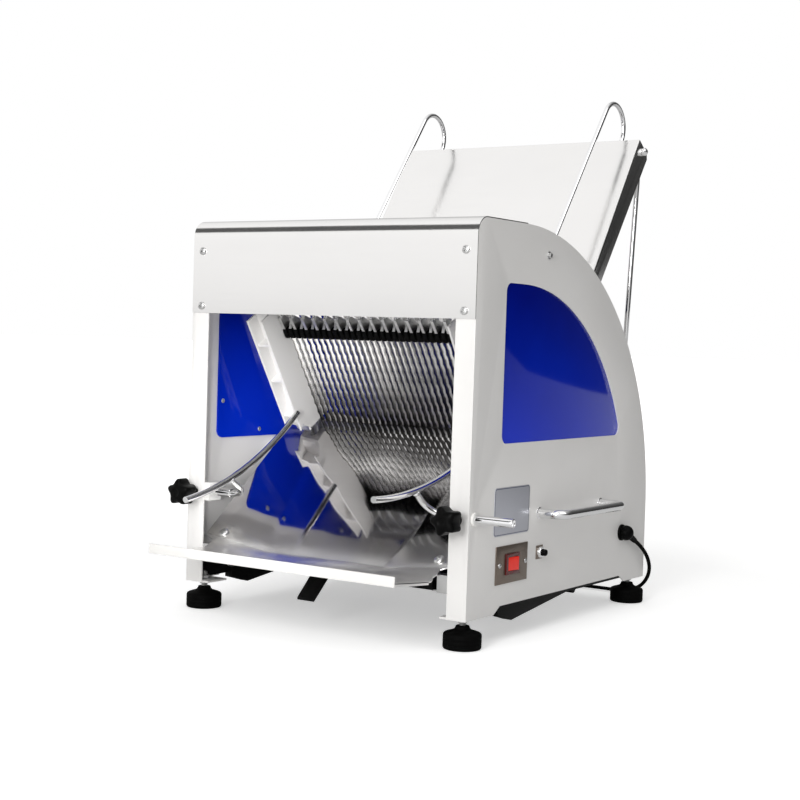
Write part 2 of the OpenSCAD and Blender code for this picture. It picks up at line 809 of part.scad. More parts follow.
module motor_body() place() color("slategray") {
    base = plate_z + motor_plate_t;
    end = motor_x + motor_len;
    difference() {
        union() {
            translate([0, motor_y, motor_z]) {
                rod_along_x(motor_r, motor_x + 16, end - 28);
                rod_along_x(motor_r - 5, motor_x, motor_x + 16);
                rod_along_x(motor_r - 3, end - 28, end);
                rod_along_x(16, motor_x - 8, motor_x);
            }
            for (x = [motor_x + 20, end - 54])
                box([x, motor_y - motor_r + 12, base], [x + 22, motor_y + motor_r - 12, motor_z]);
            box([motor_x + 36, motor_y - 28, motor_z], [end - 42, motor_y + 28, motor_z + motor_r + 22]);
        }
        translate([0, motor_y, motor_z]) rod_along_x(motor_shaft_r + run_gap, motor_x - 9, motor_x + 40);
    }
}

module bearing_housings() place() color("slategray") {
    base = plate_z + motor_plate_t;
    for (side = [-1, 1]) on_side(side)
        difference() {
            union() {
                translate([0, crank_y, crank_z])
                    rod_along_x(shaft_r + 16, bearing_x - bearing_w / 2, bearing_x + bearing_w / 2);
                box([bearing_x - bearing_w / 2, crank_y - shaft_r - 8, base],
                    [bearing_x + bearing_w / 2, crank_y + shaft_r + 8, crank_z]);
                box([bearing_x - bearing_w / 2, crank_y - 52, base],
                    [bearing_x + bearing_w / 2, crank_y + 52, base + 12]);
            }
            translate([0, crank_y, crank_z])
                rod_along_x(shaft_r + run_gap, bearing_x - bearing_w, bearing_x + bearing_w);
        }
}

// Outline of a belt's back or inner face: two arcs and the straight runs that touch them
module belt_loop(r1, r2) hull() {
    translate([crank_y, crank_z]) circle(r = r1, $fn = 96);
    translate([motor_y, motor_z]) circle(r = r2, $fn = 96);
}

module drive_belt() place() color(black) slab(-belt_w / 2, belt_w / 2) difference() {
    belt_loop(driven_r, drive_r);
    belt_loop(driven_r - belt_d, drive_r - belt_d);
}

module pulley(r, bore) {
    groove = r - belt_d - face_gap;
    rotate([0, 90, 0]) rotate_extrude()
        polygon([[bore, -pulley_w / 2], [r, -pulley_w / 2], [r, -groove_w / 2], [groove, -groove_w / 2],
                 [groove, groove_w / 2], [r, groove_w / 2], [r, pulley_w / 2], [bore, pulley_w / 2]]);
}

// Bent bars on both panels
module carry_handles() place() color(chrome) for (side = [-1, 1]) on_side(side) {
    bar_x = half_w + grip_reach - grip_r;
    corner_x = bar_x - grip_bend;
    translate([0, 0, grip_z]) {
        for (y = [grip_y, grip_y + grip_len]) translate([0, y, 0]) rod_along_x(grip_r, half_w, corner_x);
        translate([bar_x, 0, 0]) rod_along_y(grip_r, grip_y + grip_bend, grip_y + grip_len - grip_bend);
        translate([corner_x, grip_y + grip_bend, 0]) rotate([0, 0, -90])
            rotate_extrude(angle = 90) translate([grip_bend, 0]) circle(r = grip_r);
        translate([corner_x, grip_y + grip_len - grip_bend, 0])
            rotate_extrude(angle = 90) translate([grip_bend, 0]) circle(r = grip_r);
    }
}

module switch_plate() place() color("tan") difference() {
    box([half_w, switch_y - switch_w / 2, switch_z - switch_h / 2],
        [half_w + switch_t, switch_y + switch_w / 2, switch_z + switch_h / 2]);
    box([half_w - 1, switch_y - rocker_w / 2 - 1, switch_z - rocker_h / 2 - 1],
        [half_w + switch_t + 1, switch_y + rocker_w / 2 + 1, switch_z + rocker_h / 2 + 1]);
}

// Frame on the switch plate with the switch's body behind it
module switch_bezel() place() color([0.25, 0.02, 0.02]) {
    face = half_w + switch_t;
    difference() {
        union() {
            box([face, switch_y - bezel_w / 2, switch_z - bezel_h / 2],
                [face + bezel_t, switch_y + bezel_w / 2, switch_z + bezel_h / 2]);
            box([panel_in - 22, switch_y - rocker_w / 2 - 0.7, switch_z - rocker_h / 2 - 0.7],
                [face, switch_y + rocker_w / 2 + 0.7, switch_z + rocker_h / 2 + 0.7]);
        }
        box([panel_in - 8, switch_y - rocker_w / 2 + 2, switch_z - rocker_h / 2 + 1.5],
            [face + bezel_t + 1, switch_y + rocker_w / 2 - 2, switch_z + rocker_h / 2 - 1.5]);
        translate([face, switch_y, switch_z - rocker_h / 2])
            cylinder(r = pivot_r + run_gap, h = rocker_h, $fn = 32);
    }
}

// Rocker with two faces that meet at its middle, tipped to one side
module switch_rocker() place() color([0.9, 0.05, 0.05])
    translate([half_w + switch_t, switch_y, switch_z]) rotate([0, 0, -rocker_tilt]) {
        translate([0, 0, 2 - rocker_h / 2]) linear_extrude(rocker_h - 4)
            polygon([[-3, -12], [3.6, -14], [2.4, 0], [3.6, 14], [-3, 12], [-5, 0]]);
        translate([0, 0, 0.3 - rocker_h / 2]) cylinder(r = pivot_r, h = rocker_h - 0.6, $fn = 32);
    }

module reset_plate() place() color("tan") {
    plate = 22;
    translate([0, reset_y, reset_z]) difference() {
        union() {
            box([half_w, -plate / 2, -plate / 2], [half_w + 1, plate / 2, plate / 2]);
            rod_along_x(button_r + 3.5, half_w, half_w + 7);
        }
        rod_along_x(button_r + run_gap, half_w - 1, half_w + 8);
    }
}

module reset_button() place() color(black) translate([0, reset_y, reset_z]) {
    rod_along_x(button_r, half_w - 4, half_w + 13);
    translate([half_w + 13, 0, 0]) rotate([0, 90, 0]) cylinder(r1 = button_r, r2 = button_r - 1.5, h = 2);
}

// Bare plate with rounded corners
module rating_plate() place() color("lightsteelblue") {
    corner = 6;
    slab(half_w, half_w + rating_t) translate([rating_y, rating_z]) {
        square([rating_w - 2 * corner, rating_h], center = true);
        square([rating_w, rating_h - 2 * corner], center = true);
        for (a = [-1, 1], b = [-1, 1])
            translate([a * (rating_w / 2 - corner), b * (rating_h / 2 - corner)]) circle(r = corner);
    }
}

// Block behind each post that guides the arm's sleeve, and a ring outside the panel
module arm_bushes() place() color("white") for (side = [-1, 1]) on_side(side) difference() {
    union() {
        box([panel_in - block_w, sheet_t + seat_gap, arm_z - block_h / 2],
            [panel_in - seat_gap, sheet_t + seat_gap + block_d, arm_z + block_h / 2]);
        translate([0, arm_y, arm_z]) rod_along_x(sleeve_r + 4, half_w + 0.1, half_w + 4);
    }
    translate([0, arm_y, arm_z]) rod_along_x(sleeve_r + run_gap, panel_in - block_w - 1, half_w + 5);
    translate([knob_x, 0, arm_z]) rod_along_y(screw_r + run_gap, 0, arm_y);
}

// Tube that slides through its bush block, drawn for the right side
module arm_sleeve() translate([0, arm_y, arm_z]) difference() {
    rod_along_x(sleeve_r, sleeve_end - sleeve_len, sleeve_end);
    rod_along_x(arm_r + run_gap, sleeve_end - sleeve_len - 1, sleeve_end + 1);
}

module right_arm_sleeve() place() color(chrome) arm_sleeve();

module left_arm_sleeve() place() color(chrome) on_side(-1) translate([-arm_shift, 0, 0]) arm_sleeve();

// Long curved rod with a bent cross rod welded to it, turned about the sleeve by "tilt"
module guide_arm(tilt) {
    start = arm_x + arm_bend;
    translate([0, arm_y, arm_z]) rotate([-tilt, 0, 0]) {
        rod_along_x(arm_r, start - weld_run, sleeve_end - 4);
        rotate([joint_lift, 0, 0]) {
            translate([start, arm_bend, 0]) rotate([0, 0, 180])
                rotate_extrude(angle = 90) translate([arm_bend, 0]) circle(r = arm_r + weld);
            translate([arm_x, 0, 0]) rod_along_y(arm_r - weld, arm_bend - weld_run, joint_reach);
        }
        translate([arm_x, joint_reach * cos(joint_lift), joint_reach * sin(joint_lift)])
            rotate([joint_slope, 0, 0]) translate([0, 0, arm_curve]) rotate([90, 0, 90])
                rotate([0, 0, -90 - arm_front])
                    rotate_extrude(angle = arm_front + arm_rear, $fn = 128)
                        translate([arm_curve, 0]) circle(r = arm_r, $fn = 32);
    }
}

module right_guide_arm() place() color(chrome) guide_arm(arm_tilt);

module left_guide_arm() place() color(chrome) on_side(-1) translate([-arm_shift, 0, 0]) guide_arm(0);

// Five-lobed knob with a raised middle, a neck and a screw that reaches the sleeve
module star_knob(turn) translate([knob_x, 0, arm_z]) {
    lobe_r = knob_r * 0.36;
    core_r = knob_r - lobe_r;
    face = 3;
    translate([0, knob_y, 0]) rotate([90, 0, 0]) linear_extrude(knob_h - face) {
        circle(r = core_r + 2);
        for (i = [0 : 4]) rotate(turn + i * 72) translate([core_r, 0]) circle(r = lobe_r);
    }
    rod_along_y(core_r - 2, knob_y - knob_h, knob_y - knob_h + face + 1);
    rod_along_y(12, knob_y - 1, knob_y + 14);
    rod_along_y(screw_r, knob_y, arm_y - sleeve_r - face_gap);
}

module left_knob() place() color(black) on_side(-1) star_knob(90);

module right_knob() place() color(black) star_knob(36);

module foot_studs() place() color(steel) for (side = [-1, 1], y = [foot_y, body_d - foot_y])
    translate([side * foot_x, y, 0]) {
        translate([0, 0, pad_h]) cylinder(r = stud_r, h = stud_top - pad_h);
        translate([0, 0, leg_h - 6]) cylinder(r = 8.5, h = 6, $fn = 6);
        translate([0, 0, leg_h + foot_plate]) cylinder(r = 8.5, h = 6, $fn = 6);
    }

module foot_pads() place() color(black) for (side = [-1, 1], y = [foot_y, body_d - foot_y])
    translate([side * foot_x, y, 0]) rotate_extrude()
        polygon([[0, 0], [foot_r - 2, 0], [foot_r, 2], [foot_r, 22], [foot_r - 4, 26], [13, 30],
                 [10, pad_h], [0, pad_h]]);

// Round gland with a tapered sleeve that points to the back and down
module cord_gland() place() color(black) translate([0, gland_y, gland_z]) {
    rod_along_x(gland_ball + 1, half_w, half_w + 4);
    difference() {
        translate([cord_x, 0, 0]) sphere(r = gland_ball);
        box([half_w - 10, -20, -20], [half_w + 2, 20, 20]);
    }
    translate([cord_x, 0, 0]) rotate([-90 - gland_drop, 0, 0])
        cylinder(r1 = 7, r2 = cord_r + 1, h = relief_out);
}

function unit(v) = v / norm(v);

// A ring of points round a place on a path that runs along "dir"
function ring(p, dir, r, sides) = let (across = unit(cross(dir, [0, 0, 1])), up = cross(across, dir))
    [for (k = [0 : sides - 1]) p + r * (cos(360 * k / sides) * across + sin(360 * k / sides) * up)];

function path_dir(path, i) = let (n = len(path) - 1)
    unit(path[min(i + 1, n)] - path[max(i - 1, 0)]);

// Tube with flat ends along a list of points
module tube(path, r, sides) {
    n = len(path);
    points = [for (i = [0 : n - 1]) each ring(path[i], path_dir(path, i), r, sides)];
    wall = [for (i = [0 : n - 2], k = [0 : sides - 1])
        let (a = i * sides + k, b = i * sides + (k + 1) % sides)
        each [[a, b, b + sides], [a, b + sides, a + sides]]];
    last = (n - 1) * sides;
    caps = [for (k = [1 : sides - 2])
        each [[0, k + 1, k], [last, last + k, last + k + 1]]];
    polyhedron(points, concat(wall, caps));
}

// Points between the route's points, on a smooth curve through them
function smooth(p, i, t) = let (n = len(p) - 1, a = p[max(i - 1, 0)], b = p[i], c = p[i + 1],
                                d = p[min(i + 2, n)])
    0.5 * (2 * b + (c - a) * t + (2 * a - 5 * b + 4 * c - d) * t * t
           + (3 * b - a - 3 * c + d) * t * t * t);

function smooth_path(p, steps) = concat(
    [for (i = [0 : len(p) - 2], k = [0 : steps - 1]) smooth(p, i, k / steps)], [p[len(p) - 1]]);

module power_cord() place() color(black) tube(smooth_path(cord_points, 2), cord_r, 8);

// The coil winds in on the floor, climbs in the half turn where it reverses, and winds out again
function coil_point(t) = let (half = (coil_turns - 0.5) / 2, mid = coil_turns / 2,
        r = coil_r - coil_pitch * (t < mid ? t : coil_turns - t),
        c = min(1, max(0, 2 * (t - half))), a = -90 - 360 * t)
    [coil_x + r * cos(a), coil_y + r * sin(a), coil_z + coil_lift * c * c * (3 - 2 * c)];

coil_rings = 24;
coil_steps = coil_turns * coil_rings;
coil_path = concat([[coil_x + 2 * cord_r, coil_y - coil_r, coil_z]],
                   [for (i = [0 : coil_steps]) coil_point(i / coil_rings)],
                   [[coil_x + 2 * cord_r, coil_y + coil_r, coil_z + coil_lift]]);

module cord_coil() place() color(black) {
    least = min([for (i = [0 : coil_steps], j = [i + coil_rings / 2 : coil_steps])
        norm(coil_point(i / coil_rings) - coil_point(j / coil_rings))]);
    echo("least gap between the coil's turns", least - 2 * cord_r);
    tube(coil_path, cord_r, 6);
}

// Band round the coil's turns
module cord_tie() place() color("dimgray") {
    wall = 1;
    width = 12;
    inner = coil_r - 1.75 * coil_pitch - cord_r - 1.2;
    outer = coil_r - 0.75 * coil_pitch + cord_r + 0.5;
    low = coil_z - cord_r - seat_gap;
    high = coil_z + coil_lift + cord_r + seat_gap;
    translate([coil_x, coil_y - width / 2, 0]) difference() {
        box([inner - wall, 0, low - wall], [outer + wall, width, high + wall]);
        box([inner, -1, low], [outer, width + 1, high]);
    }
}

module plug_body() place() color(black)
    translate([coil_x + 2 * cord_r, coil_y + coil_r, plug_z]) {
        rotate([0, 90, 0]) cylinder(r1 = cord_r + 1, r2 = 8, h = plug_neck + 1);
        translate([plug_neck, 0, 0]) intersection() {
            box([0, -plug_w / 2, -plug_z], [plug_len, plug_w / 2, plug_z]);
            rod_along_x(15.5, 0, plug_len);
        }
    }

module plug_pins() place() color("gold")
    translate([coil_x + 2 * cord_r + plug_neck + plug_len, coil_y + coil_r, plug_z])
        for (y = [-6.4, 6.4]) box([0, y - 0.8, -3.2], [17, y + 0.8, 3.2]);

// Cross bars joined by two guide rods, with a lug and pin for the connecting rod
module blade_frame(n, side) at_blades() {
    for (u = [bar_low - bar_h, bar_high])
        box([-bar_half, n - bar_d / 2, u], [bar_half, n + bar_d / 2, u + bar_h]);
    for (x = [-rod_x, rod_x])
        translate([x, n, bar_low - bar_h / 2]) cylinder(r = rod_r, h = bar_high - bar_low + bar_h);
    on_side(side) {
        box([eye_x - face_gap - lug_w, n - bar_d / 2, wrist_u - 11],
            [eye_x - face_gap, n + bar_d / 2, bar_low - bar_h + 1]);
        translate([0, n, wrist_u]) rod_along_x(wrist_r, eye_x - lug_w, eye_x + rod_t + 4);
    }
}

module front_frame() place() color("lightgray") blade_frame(-bar_off, -1);

module rear_frame() place() color("lightgray") blade_frame(bar_off, 1);

function blade_x(i) = -blade_span / 2 + i * slice_t;

// Outline of a blade along its length: both edges scalloped between plain tangs
module blade_outline() {
    low = hook_low - tang;
    high = blade_top + tang;
    teeth = floor((blade_top - hook_low) / tooth_pitch);
    start = (blade_top + hook_low - teeth * tooth_pitch) / 2;
    edge = [for (i = [0 : 2 * teeth])
        [start + i * tooth_pitch / 2, blade_w / 2 - (i % 2 == 0 ? 0 : tooth_d)]];
    half = concat([[low, blade_w / 2]], edge, [[high, blade_w / 2]]);
    count = len(half) - 1;
    polygon(concat([for (p = half) [p[1], p[0]]], [for (i = [count : -1 : 0]) [-half[i][1], half[i][0]]]));
}

module blades(first) at_blades()
    for (i = [first : 2 : blade_count - 1])
        slab(blade_x(i) - blade_t / 2, blade_x(i) + blade_t / 2) blade_outline();

module front_blades() place() color(steel) blades(0);

module rear_blades() place() color(steel) blades(1);

// Black hooks at both ends of each blade, on stems that hang from the frame's bars
module hooks(first, n) at_blades()
    for (i = [first : 2 : blade_count - 1]) translate([blade_x(i), 0, 0]) {
        gap = blade_t / 2 + slot_gap;
        edge = blade_w / 2 + slot_gap;
        side = hook_d / 2;
        difference() {
            union() {
                box([-hook_w / 2, -side, hook_low - hook_h], [hook_w / 2, side, hook_low]);
                slab(-hook_w / 2, hook_w / 2)
                    polygon([[-side, blade_top], [side, blade_top], [side, blade_top + hook_grip],
                             [n + hook_neck, blade_top + hook_up], [n - hook_neck, blade_top + hook_up],
                             [-side, blade_top + hook_grip]]);
                translate([0, n, bar_low]) cylinder(r = stem_r, h = stem_len + 1, $fn = 24);
                translate([0, n, bar_high - stem_len - 1]) cylinder(r = stem_r, h = stem_len + 1, $fn = 24);
            }
            box([-gap, -edge, hook_low - tang - slot_gap], [gap, edge, blade_top + tang + slot_gap]);
        }
    }

module front_hooks() place() color(black) hooks(0, -bar_off);

module rear_hooks() place() color(black) hooks(1, bar_off);

// Flat bar with an eye at each end, and the crank pin that stands at the disc's face
module connecting_rod(n, throw, side) on_side(side) at_blades() {
    reach = crank_drop + wrist_u;
    shift = throw - n;
    span = sqrt(reach * reach + shift * shift);
    difference() {
        union() {
            translate([0, n, wrist_u]) rod_along_x(eye_r - 3, eye_x, eye_x + rod_t);
            translate([0, throw, -crank_drop]) rod_along_x(eye_r, eye_x, eye_x + rod_t);
            translate([eye_x + 2, throw, -crank_drop]) rotate([atan2(shift, reach), 0, 0])
                translate([0, -7, 0]) cube([rod_t - 4, 14, span]);
            translate([0, throw, -crank_drop])
                rod_along_x(pin_r, disc_x + disc_t + face_gap, eye_x + rod_t + 3);
        }
        translate([0, n, wrist_u]) rod_along_x(wrist_r + run_gap, eye_x - 1, eye_x + rod_t + 1);
    }
}

module front_connecting_rod() place() color("dimgray") connecting_rod(-bar_off, -stroke, -1);

module rear_connecting_rod() place() color("dimgray") connecting_rod(bar_off, stroke, 1);

module crankshaft() place() color(steel) translate([0, crank_y, crank_z])
    rod_along_x(shaft_r, -disc_x - disc_t, disc_x + disc_t);

module crank_discs() place() color("dimgray") for (side = [-1, 1]) on_side(side)
    translate([0, crank_y, crank_z]) difference() {
        rod_along_x(disc_r, disc_x, disc_x + disc_t);
        rod_along_x(shaft_r + 0.02, disc_x - 1, disc_x + disc_t + 1);
    }

module driven_pulley() place() color("dimgray") translate([0, crank_y, crank_z])
    pulley(driven_r, shaft_r + 0.02);

// Motor pulley on the motor's shaft
module motor_pulley() place() color("dimgray") translate([0, motor_y, motor_z]) {
    pulley(drive_r, motor_shaft_r - 1);
    rod_along_x(motor_shaft_r, -pulley_w / 2 - 4, motor_x + 38);
}

// Two looped wires on a cross rod that turns in the chute's flanges
module loaf_press() place() color(chrome) at_chute() {
    shoulder = eye_in - face_gap;
    nut = chute_half + face_gap;
    loop_d = cross_d - loop_r;
    translate([0, cross_d, cross_s]) {
        rod_along_x(cross_r, -shoulder, shoulder);
        rod_along_x(cross_pin_r, -nut - 5, nut + 5);
        for (side = [-1, 1]) on_side(side) rod_along_x(cross_r + 2, nut, nut + 6);
    }
    for (x = [-wire_x, wire_x]) translate([x, 0, 0]) {
        translate([0, cross_d, cross_s - 2]) cylinder(r = wire_r, h = loop_s - cross_s + 2);
        translate([0, loop_d, loop_s]) rotate([90, 0, 90])
            rotate_extrude(angle = 180 - leg_tilt) translate([loop_r, 0]) circle(r = wire_r, $fn = 32);
        translate([0, loop_d, loop_s]) rotate([-leg_tilt, 0, 0]) translate([0, -loop_r, -wire_leg])
            cylinder(r = wire_r - weld, h = wire_leg + weld_run);
    }
}

// Shallow drawer with a black pull tab at its front
module crumb_drawer() place() color(black) {
    back = drawer_front + drawer_len;
    pull_z = drawer_z + drawer_h / 2;
    tab_y = drawer_front - tab_start;
    difference() {
        box([-drawer_half, drawer_front, drawer_z], [drawer_half, back, drawer_z + drawer_h]);
        box([drawer_wall - drawer_half, drawer_front + drawer_wall, drawer_z + drawer_wall],
            [drawer_half - drawer_wall, back - drawer_wall, drawer_z + drawer_h + 1]);
    }
    slab(-tab_w / 2, tab_w / 2)
        polygon([[drawer_front + 1, pull_z], [tab_y, pull_z],
                 [tab_y - tab_reach, pull_z - tab_drop], [tab_y - tab_reach, pull_z - tab_drop - tab_t],
                 [tab_y + 2, pull_z - tab_t], [drawer_front + 1, pull_z - tab_t]]);
}

left_side_panel();
right_side_panel();
left_window_plate();
right_window_plate();
front_cover();
rear_cover();
panel_screws();
tie_bar();
frame_rails();
base_rails();
left_guide_column();
right_guide_column();
guide_bushes();
infeed_chute();
chute_props();
outfeed_tray();
tray_lip();
tray_screws();
tray_brackets();
drawer_runners();
motor_plate();
motor_body();
bearing_housings();
drive_belt();
carry_handles();
switch_plate();
switch_bezel();
reset_plate();
rating_plate();
arm_bushes();
foot_studs();
foot_pads();
cord_gland();
power_cord();
cord_coil();
cord_tie();
plug_body();
plug_pins();
front_frame();
front_blades();
front_hooks();
front_connecting_rod();
rear_frame();
rear_blades();
rear_hooks();
rear_connecting_rod();
crankshaft();
crank_discs();
driven_pulley();
motor_pulley();
left_arm_sleeve();
right_arm_sleeve();
left_guide_arm();
right_guide_arm();
left_knob();
right_knob();
switch_rocker();
reset_button();
loaf_press();
crumb_drawer();
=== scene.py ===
import json
import math

import bmesh
import bpy
from mathutils import Matrix, Vector


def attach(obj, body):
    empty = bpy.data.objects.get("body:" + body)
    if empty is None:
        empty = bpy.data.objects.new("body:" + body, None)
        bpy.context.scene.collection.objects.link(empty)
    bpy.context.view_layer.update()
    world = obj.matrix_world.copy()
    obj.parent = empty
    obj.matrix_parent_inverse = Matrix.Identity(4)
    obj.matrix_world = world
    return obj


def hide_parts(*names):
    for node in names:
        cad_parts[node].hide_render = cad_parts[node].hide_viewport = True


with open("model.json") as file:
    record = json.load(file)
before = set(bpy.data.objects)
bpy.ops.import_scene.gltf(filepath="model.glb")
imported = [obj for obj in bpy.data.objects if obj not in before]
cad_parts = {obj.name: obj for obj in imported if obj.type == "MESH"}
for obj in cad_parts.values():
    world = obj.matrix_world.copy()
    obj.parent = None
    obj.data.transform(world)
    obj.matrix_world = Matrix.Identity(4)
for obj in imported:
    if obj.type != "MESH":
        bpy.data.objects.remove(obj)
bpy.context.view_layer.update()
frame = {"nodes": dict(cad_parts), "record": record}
nodes = frame["nodes"]
bodyOf = {n: b for b, members in frame["record"]["behaviour"]["bodies"].items() for n in members}
slotOf = {s["node"]: s["material_slot"] for s in frame["record"]["subparts"]}
scene = bpy.context.scene

# Sizes that several pieces share: mm, x across, y back from the posts' face, z up from the floor
machine = {"originX": 8, "originY": 254.5, "half": 280, "cutY": 250, "cutZ": 310,
           "bladeTilt": 32.5, "chuteTilt": 33.7, "near": 0.05}


def row(x, y, z):
    return Vector(((x - machine["originX"]) / 1000, (y - machine["originY"]) / 1000, z / 1000))


def cosSin(degrees):
    angle = math.radians(degrees)
    return math.cos(angle), math.sin(angle)


def turned(tilt, across, along):  # y and z of a point in the frame of the blades or of the chute
    c, s = cosSin(tilt)
    return machine["cutY"] + across * c - along * s, machine["cutZ"] + across * s + along * c


def onBlades(x, n, u):
    return row(x, *turned(machine["bladeTilt"], n, u))


def onChute(x, d, s):
    return row(x, *turned(-machine["chuteTilt"], d, s))


# Node trees, shared by the finishes and the geometry trees

class Wire:
    def __init__(self, tree, socket):
        self.tree, self.socket = tree, socket

    def maths(self, operation, first, second=0.0, clamp=False):
        return node(self.tree, "ShaderNodeMath", {"operation": operation, "use_clamp": clamp},
                    {0: first, 1: second})

    def __add__(self, other):
        return self.maths("ADD", self, other)

    def __radd__(self, other):
        return self.maths("ADD", other, self)

    def __sub__(self, other):
        return self.maths("SUBTRACT", self, other)

    def __rsub__(self, other):
        return self.maths("SUBTRACT", other, self)

    def __mul__(self, other):
        return self.maths("MULTIPLY", self, other)

    def __rmul__(self, other):
        return self.maths("MULTIPLY", other, self)

    def __truediv__(self, other):
        return self.maths("DIVIDE", self, other)

    def __pow__(self, other):
        return self.maths("POWER", self, other)

    def __gt__(self, other):
        return self.maths("GREATER_THAN", self, other)

    def __lt__(self, other):
        return self.maths("LESS_THAN", self, other)

    def __abs__(self):
        return self.maths("ABSOLUTE", self)

    def clamped(self):
        return self.maths("ADD", self, 0.0, True)

    def atLeast(self, other):
        return self.maths("MAXIMUM", self, other)


def feed(tree, socket, value):
    if isinstance(value, Wire):
        tree.links.new(value.socket, socket)
    else:
        socket.default_value = value


def node(tree, kind, settings=None, inputs=None, output=0):
    made = tree.nodes.new(kind)
    for key, value in (settings or {}).items():
        if key == "stops":  # a ramp's places and grey levels
            ramp = made.color_ramp
            while len(ramp.elements) < len(value):
                ramp.elements.new(0.5)
            for element, (place, level) in zip(ramp.elements, value):
                element.position, element.color = place, (level, level, level, 1)
        else:
            setattr(made, key, value)
    for key, value in (inputs or {}).items():
        feed(tree, made.inputs[key], value)
    return Wire(tree, made.outputs[output])


# Finishes

relief = {"paint": 0.0003, "metal": 0.001, "plastic": 0.0002}  # metres that a full bump stands for


def newFinish(name):  # a material, its tree, its shader and the place on the object
    material = bpy.data.materials.new(name)
    material.use_nodes = True
    tree = material.node_tree
    return material, tree, tree.nodes["Principled BSDF"], node(tree, "ShaderNodeTexCoord", output="Object")


def dress(tree, shader, colour, rough, normal):
    for label, value in (("Base Color", colour), ("Roughness", rough), ("Normal", normal)):
        feed(tree, shader.inputs[label], value)


def axes(tree, place):  # x, y and z of a place
    split = tree.nodes.new("ShaderNodeSeparateXYZ")
    feed(tree, split.inputs[0], place)
    return [Wire(tree, output) for output in split.outputs]


def noise(tree, place, scale, detail=3.0, stretch=None, rough=0.5):
    if stretch:
        place = node(tree, "ShaderNodeMapping", None, {"Vector": place, "Scale": stretch})
    return node(tree, "ShaderNodeTexNoise", None,
                {"Vector": place, "Scale": scale, "Detail": detail, "Roughness": rough})


def blendColour(tree, factor, *colours):  # two colours, as numbers or as wires
    first, second = (c if isinstance(c, Wire) else (*c, 1) for c in colours)
    return node(tree, "ShaderNodeMix", {"data_type": "RGBA"}, {0: factor, 6: first, 7: second}, 2)


def bump(tree, height, strength, distance):
    return node(tree, "ShaderNodeBump", None,
                {"Height": height, "Strength": strength, "Distance": distance})


def paint(name, look):  # sprayed or powder coated metal: orange peel and a faint cloudiness
    material, tree, shader, place = newFinish(name)
    cloud = noise(tree, place, look["cloud"], 4.0)
    peel = noise(tree, place, look["peel"], 2.0)
    dress(tree, shader, blendColour(tree, cloud, look["dark"], look["light"]),
          look["rough"] + look["vary"] * cloud, bump(tree, peel, look["bump"], relief["paint"]))
    shader.inputs["Specular IOR Level"].default_value = look.get("gloss", 0.5)
    return material


def metal(name, look):  # grain stretched one way, smudges, and where it is asked for, painted shade darkening one end and one side
    material, tree, shader, place = newFinish(name)
    grain = noise(tree, place, look["grain"], 3.0, look["stretch"])
    smudge = noise(tree, place, look["smudge"], 5.0, None, 0.6)
    tone = (grain * look["grainShare"] + smudge * (1 - look["grainShare"])).clamped()
    shade = blendColour(tree, tone, look["dark"], look["light"])
    # painted shade: a near-black colour mixed in below a tilted line and towards one side, with a noisy
    # edge, standing for the dark interior reflected in the metal
    if look.get("paintedShade"):
        along = node(tree, "ShaderNodeVectorMath", {"operation": "DOT_PRODUCT"},
                     {0: place, 1: look["along"]}, 1)
        patch = look["paintedShadePatch"] * (smudge - 0.5)
        shadedShare = ((look["paintedShadeTop"] - along) / look["paintedShadeFade"] + patch).clamped()
        shade = blendColour(tree, shadedShare * look["paintedShade"], shade, look["paintedShadeColour"])
    dress(tree, shader, shade, look["rough"] + look["vary"] * tone,
          bump(tree, grain * look["grainBump"], 1.0, relief["metal"]))
    shader.inputs["Metallic"].default_value = look.get("metallic", 1.0)
    return material


def polishedSheet(name, look):  # rolled sheet: clouds, slow waves, sharper mirror low down on the tray, and painted shade: darker on the tray's bend and back slope than on the cover, the chute and the shelf
    material, tree, shader, place = newFinish(name)
    y, z = axes(tree, place)[1:]
    above = ((z - look["mirrorTop"]) / look["fade"]).clamped()
    grain = noise(tree, place, look["grain"], 3.0, look["stretch"])
    cloud = noise(tree, place, look["cloud"], 4.0, look["cloudStretch"], 0.6)
    tone = (look["grainShare"] * grain + (1 - look["grainShare"]) * cloud).clamped()
    # painted shade: the same sheet in a darker colour low down on the tray
    low = blendColour(tree, tone, look["shadedTrayDark"], look["shadedTrayLight"])
    high = blendColour(tree, tone, look["dark"], look["light"])
    front = ((look["shelfBack"] - y) / look["fade"]).clamped() * (1 - above)
    unshadedAndScuffed = (above + front).clamped()  # lighter colour where the sheet is out of the painted shade, and on the shelf in front of the bend, which is scuffed
    dull = above * look["duller"] + front * look["scuffed"]
    slow = noise(tree, place, look["waveScale"], 1.0, look["waveStretch"])
    height = slow * (look["wave"] - above * look["waveLess"]) + grain * look["grainBump"]
    dress(tree, shader, blendColour(tree, unshadedAndScuffed, low, high), look["rough"] + dull + look["vary"] * tone,
          bump(tree, height, 1.0, relief["metal"]))
    shader.inputs["Metallic"].default_value = 1.0
    return material


def plastic(name, look):  # moulded grain, a little dust in the hollows
    material, tree, shader, place = newFinish(name)
    grain = node(tree, "ShaderNodeTexVoronoi", None, {"Vector": place, "Scale": look["grain"]})
    dust = noise(tree, place, look["dust"], 5.0)
    dress(tree, shader, blendColour(tree, dust, look["dark"], look["light"]),
          look["rough"] + look["vary"] * dust, bump(tree, grain, look["bump"], relief["plastic"]))
    shader.inputs["Specular IOR Level"].default_value = look.get("gloss", 0.5)
    if look.get("glow"):
        shader.inputs["Emission Color"].default_value = (*look["glow"], 1)
        shader.inputs["Emission Strength"].default_value = look["glowStrength"]
    return material


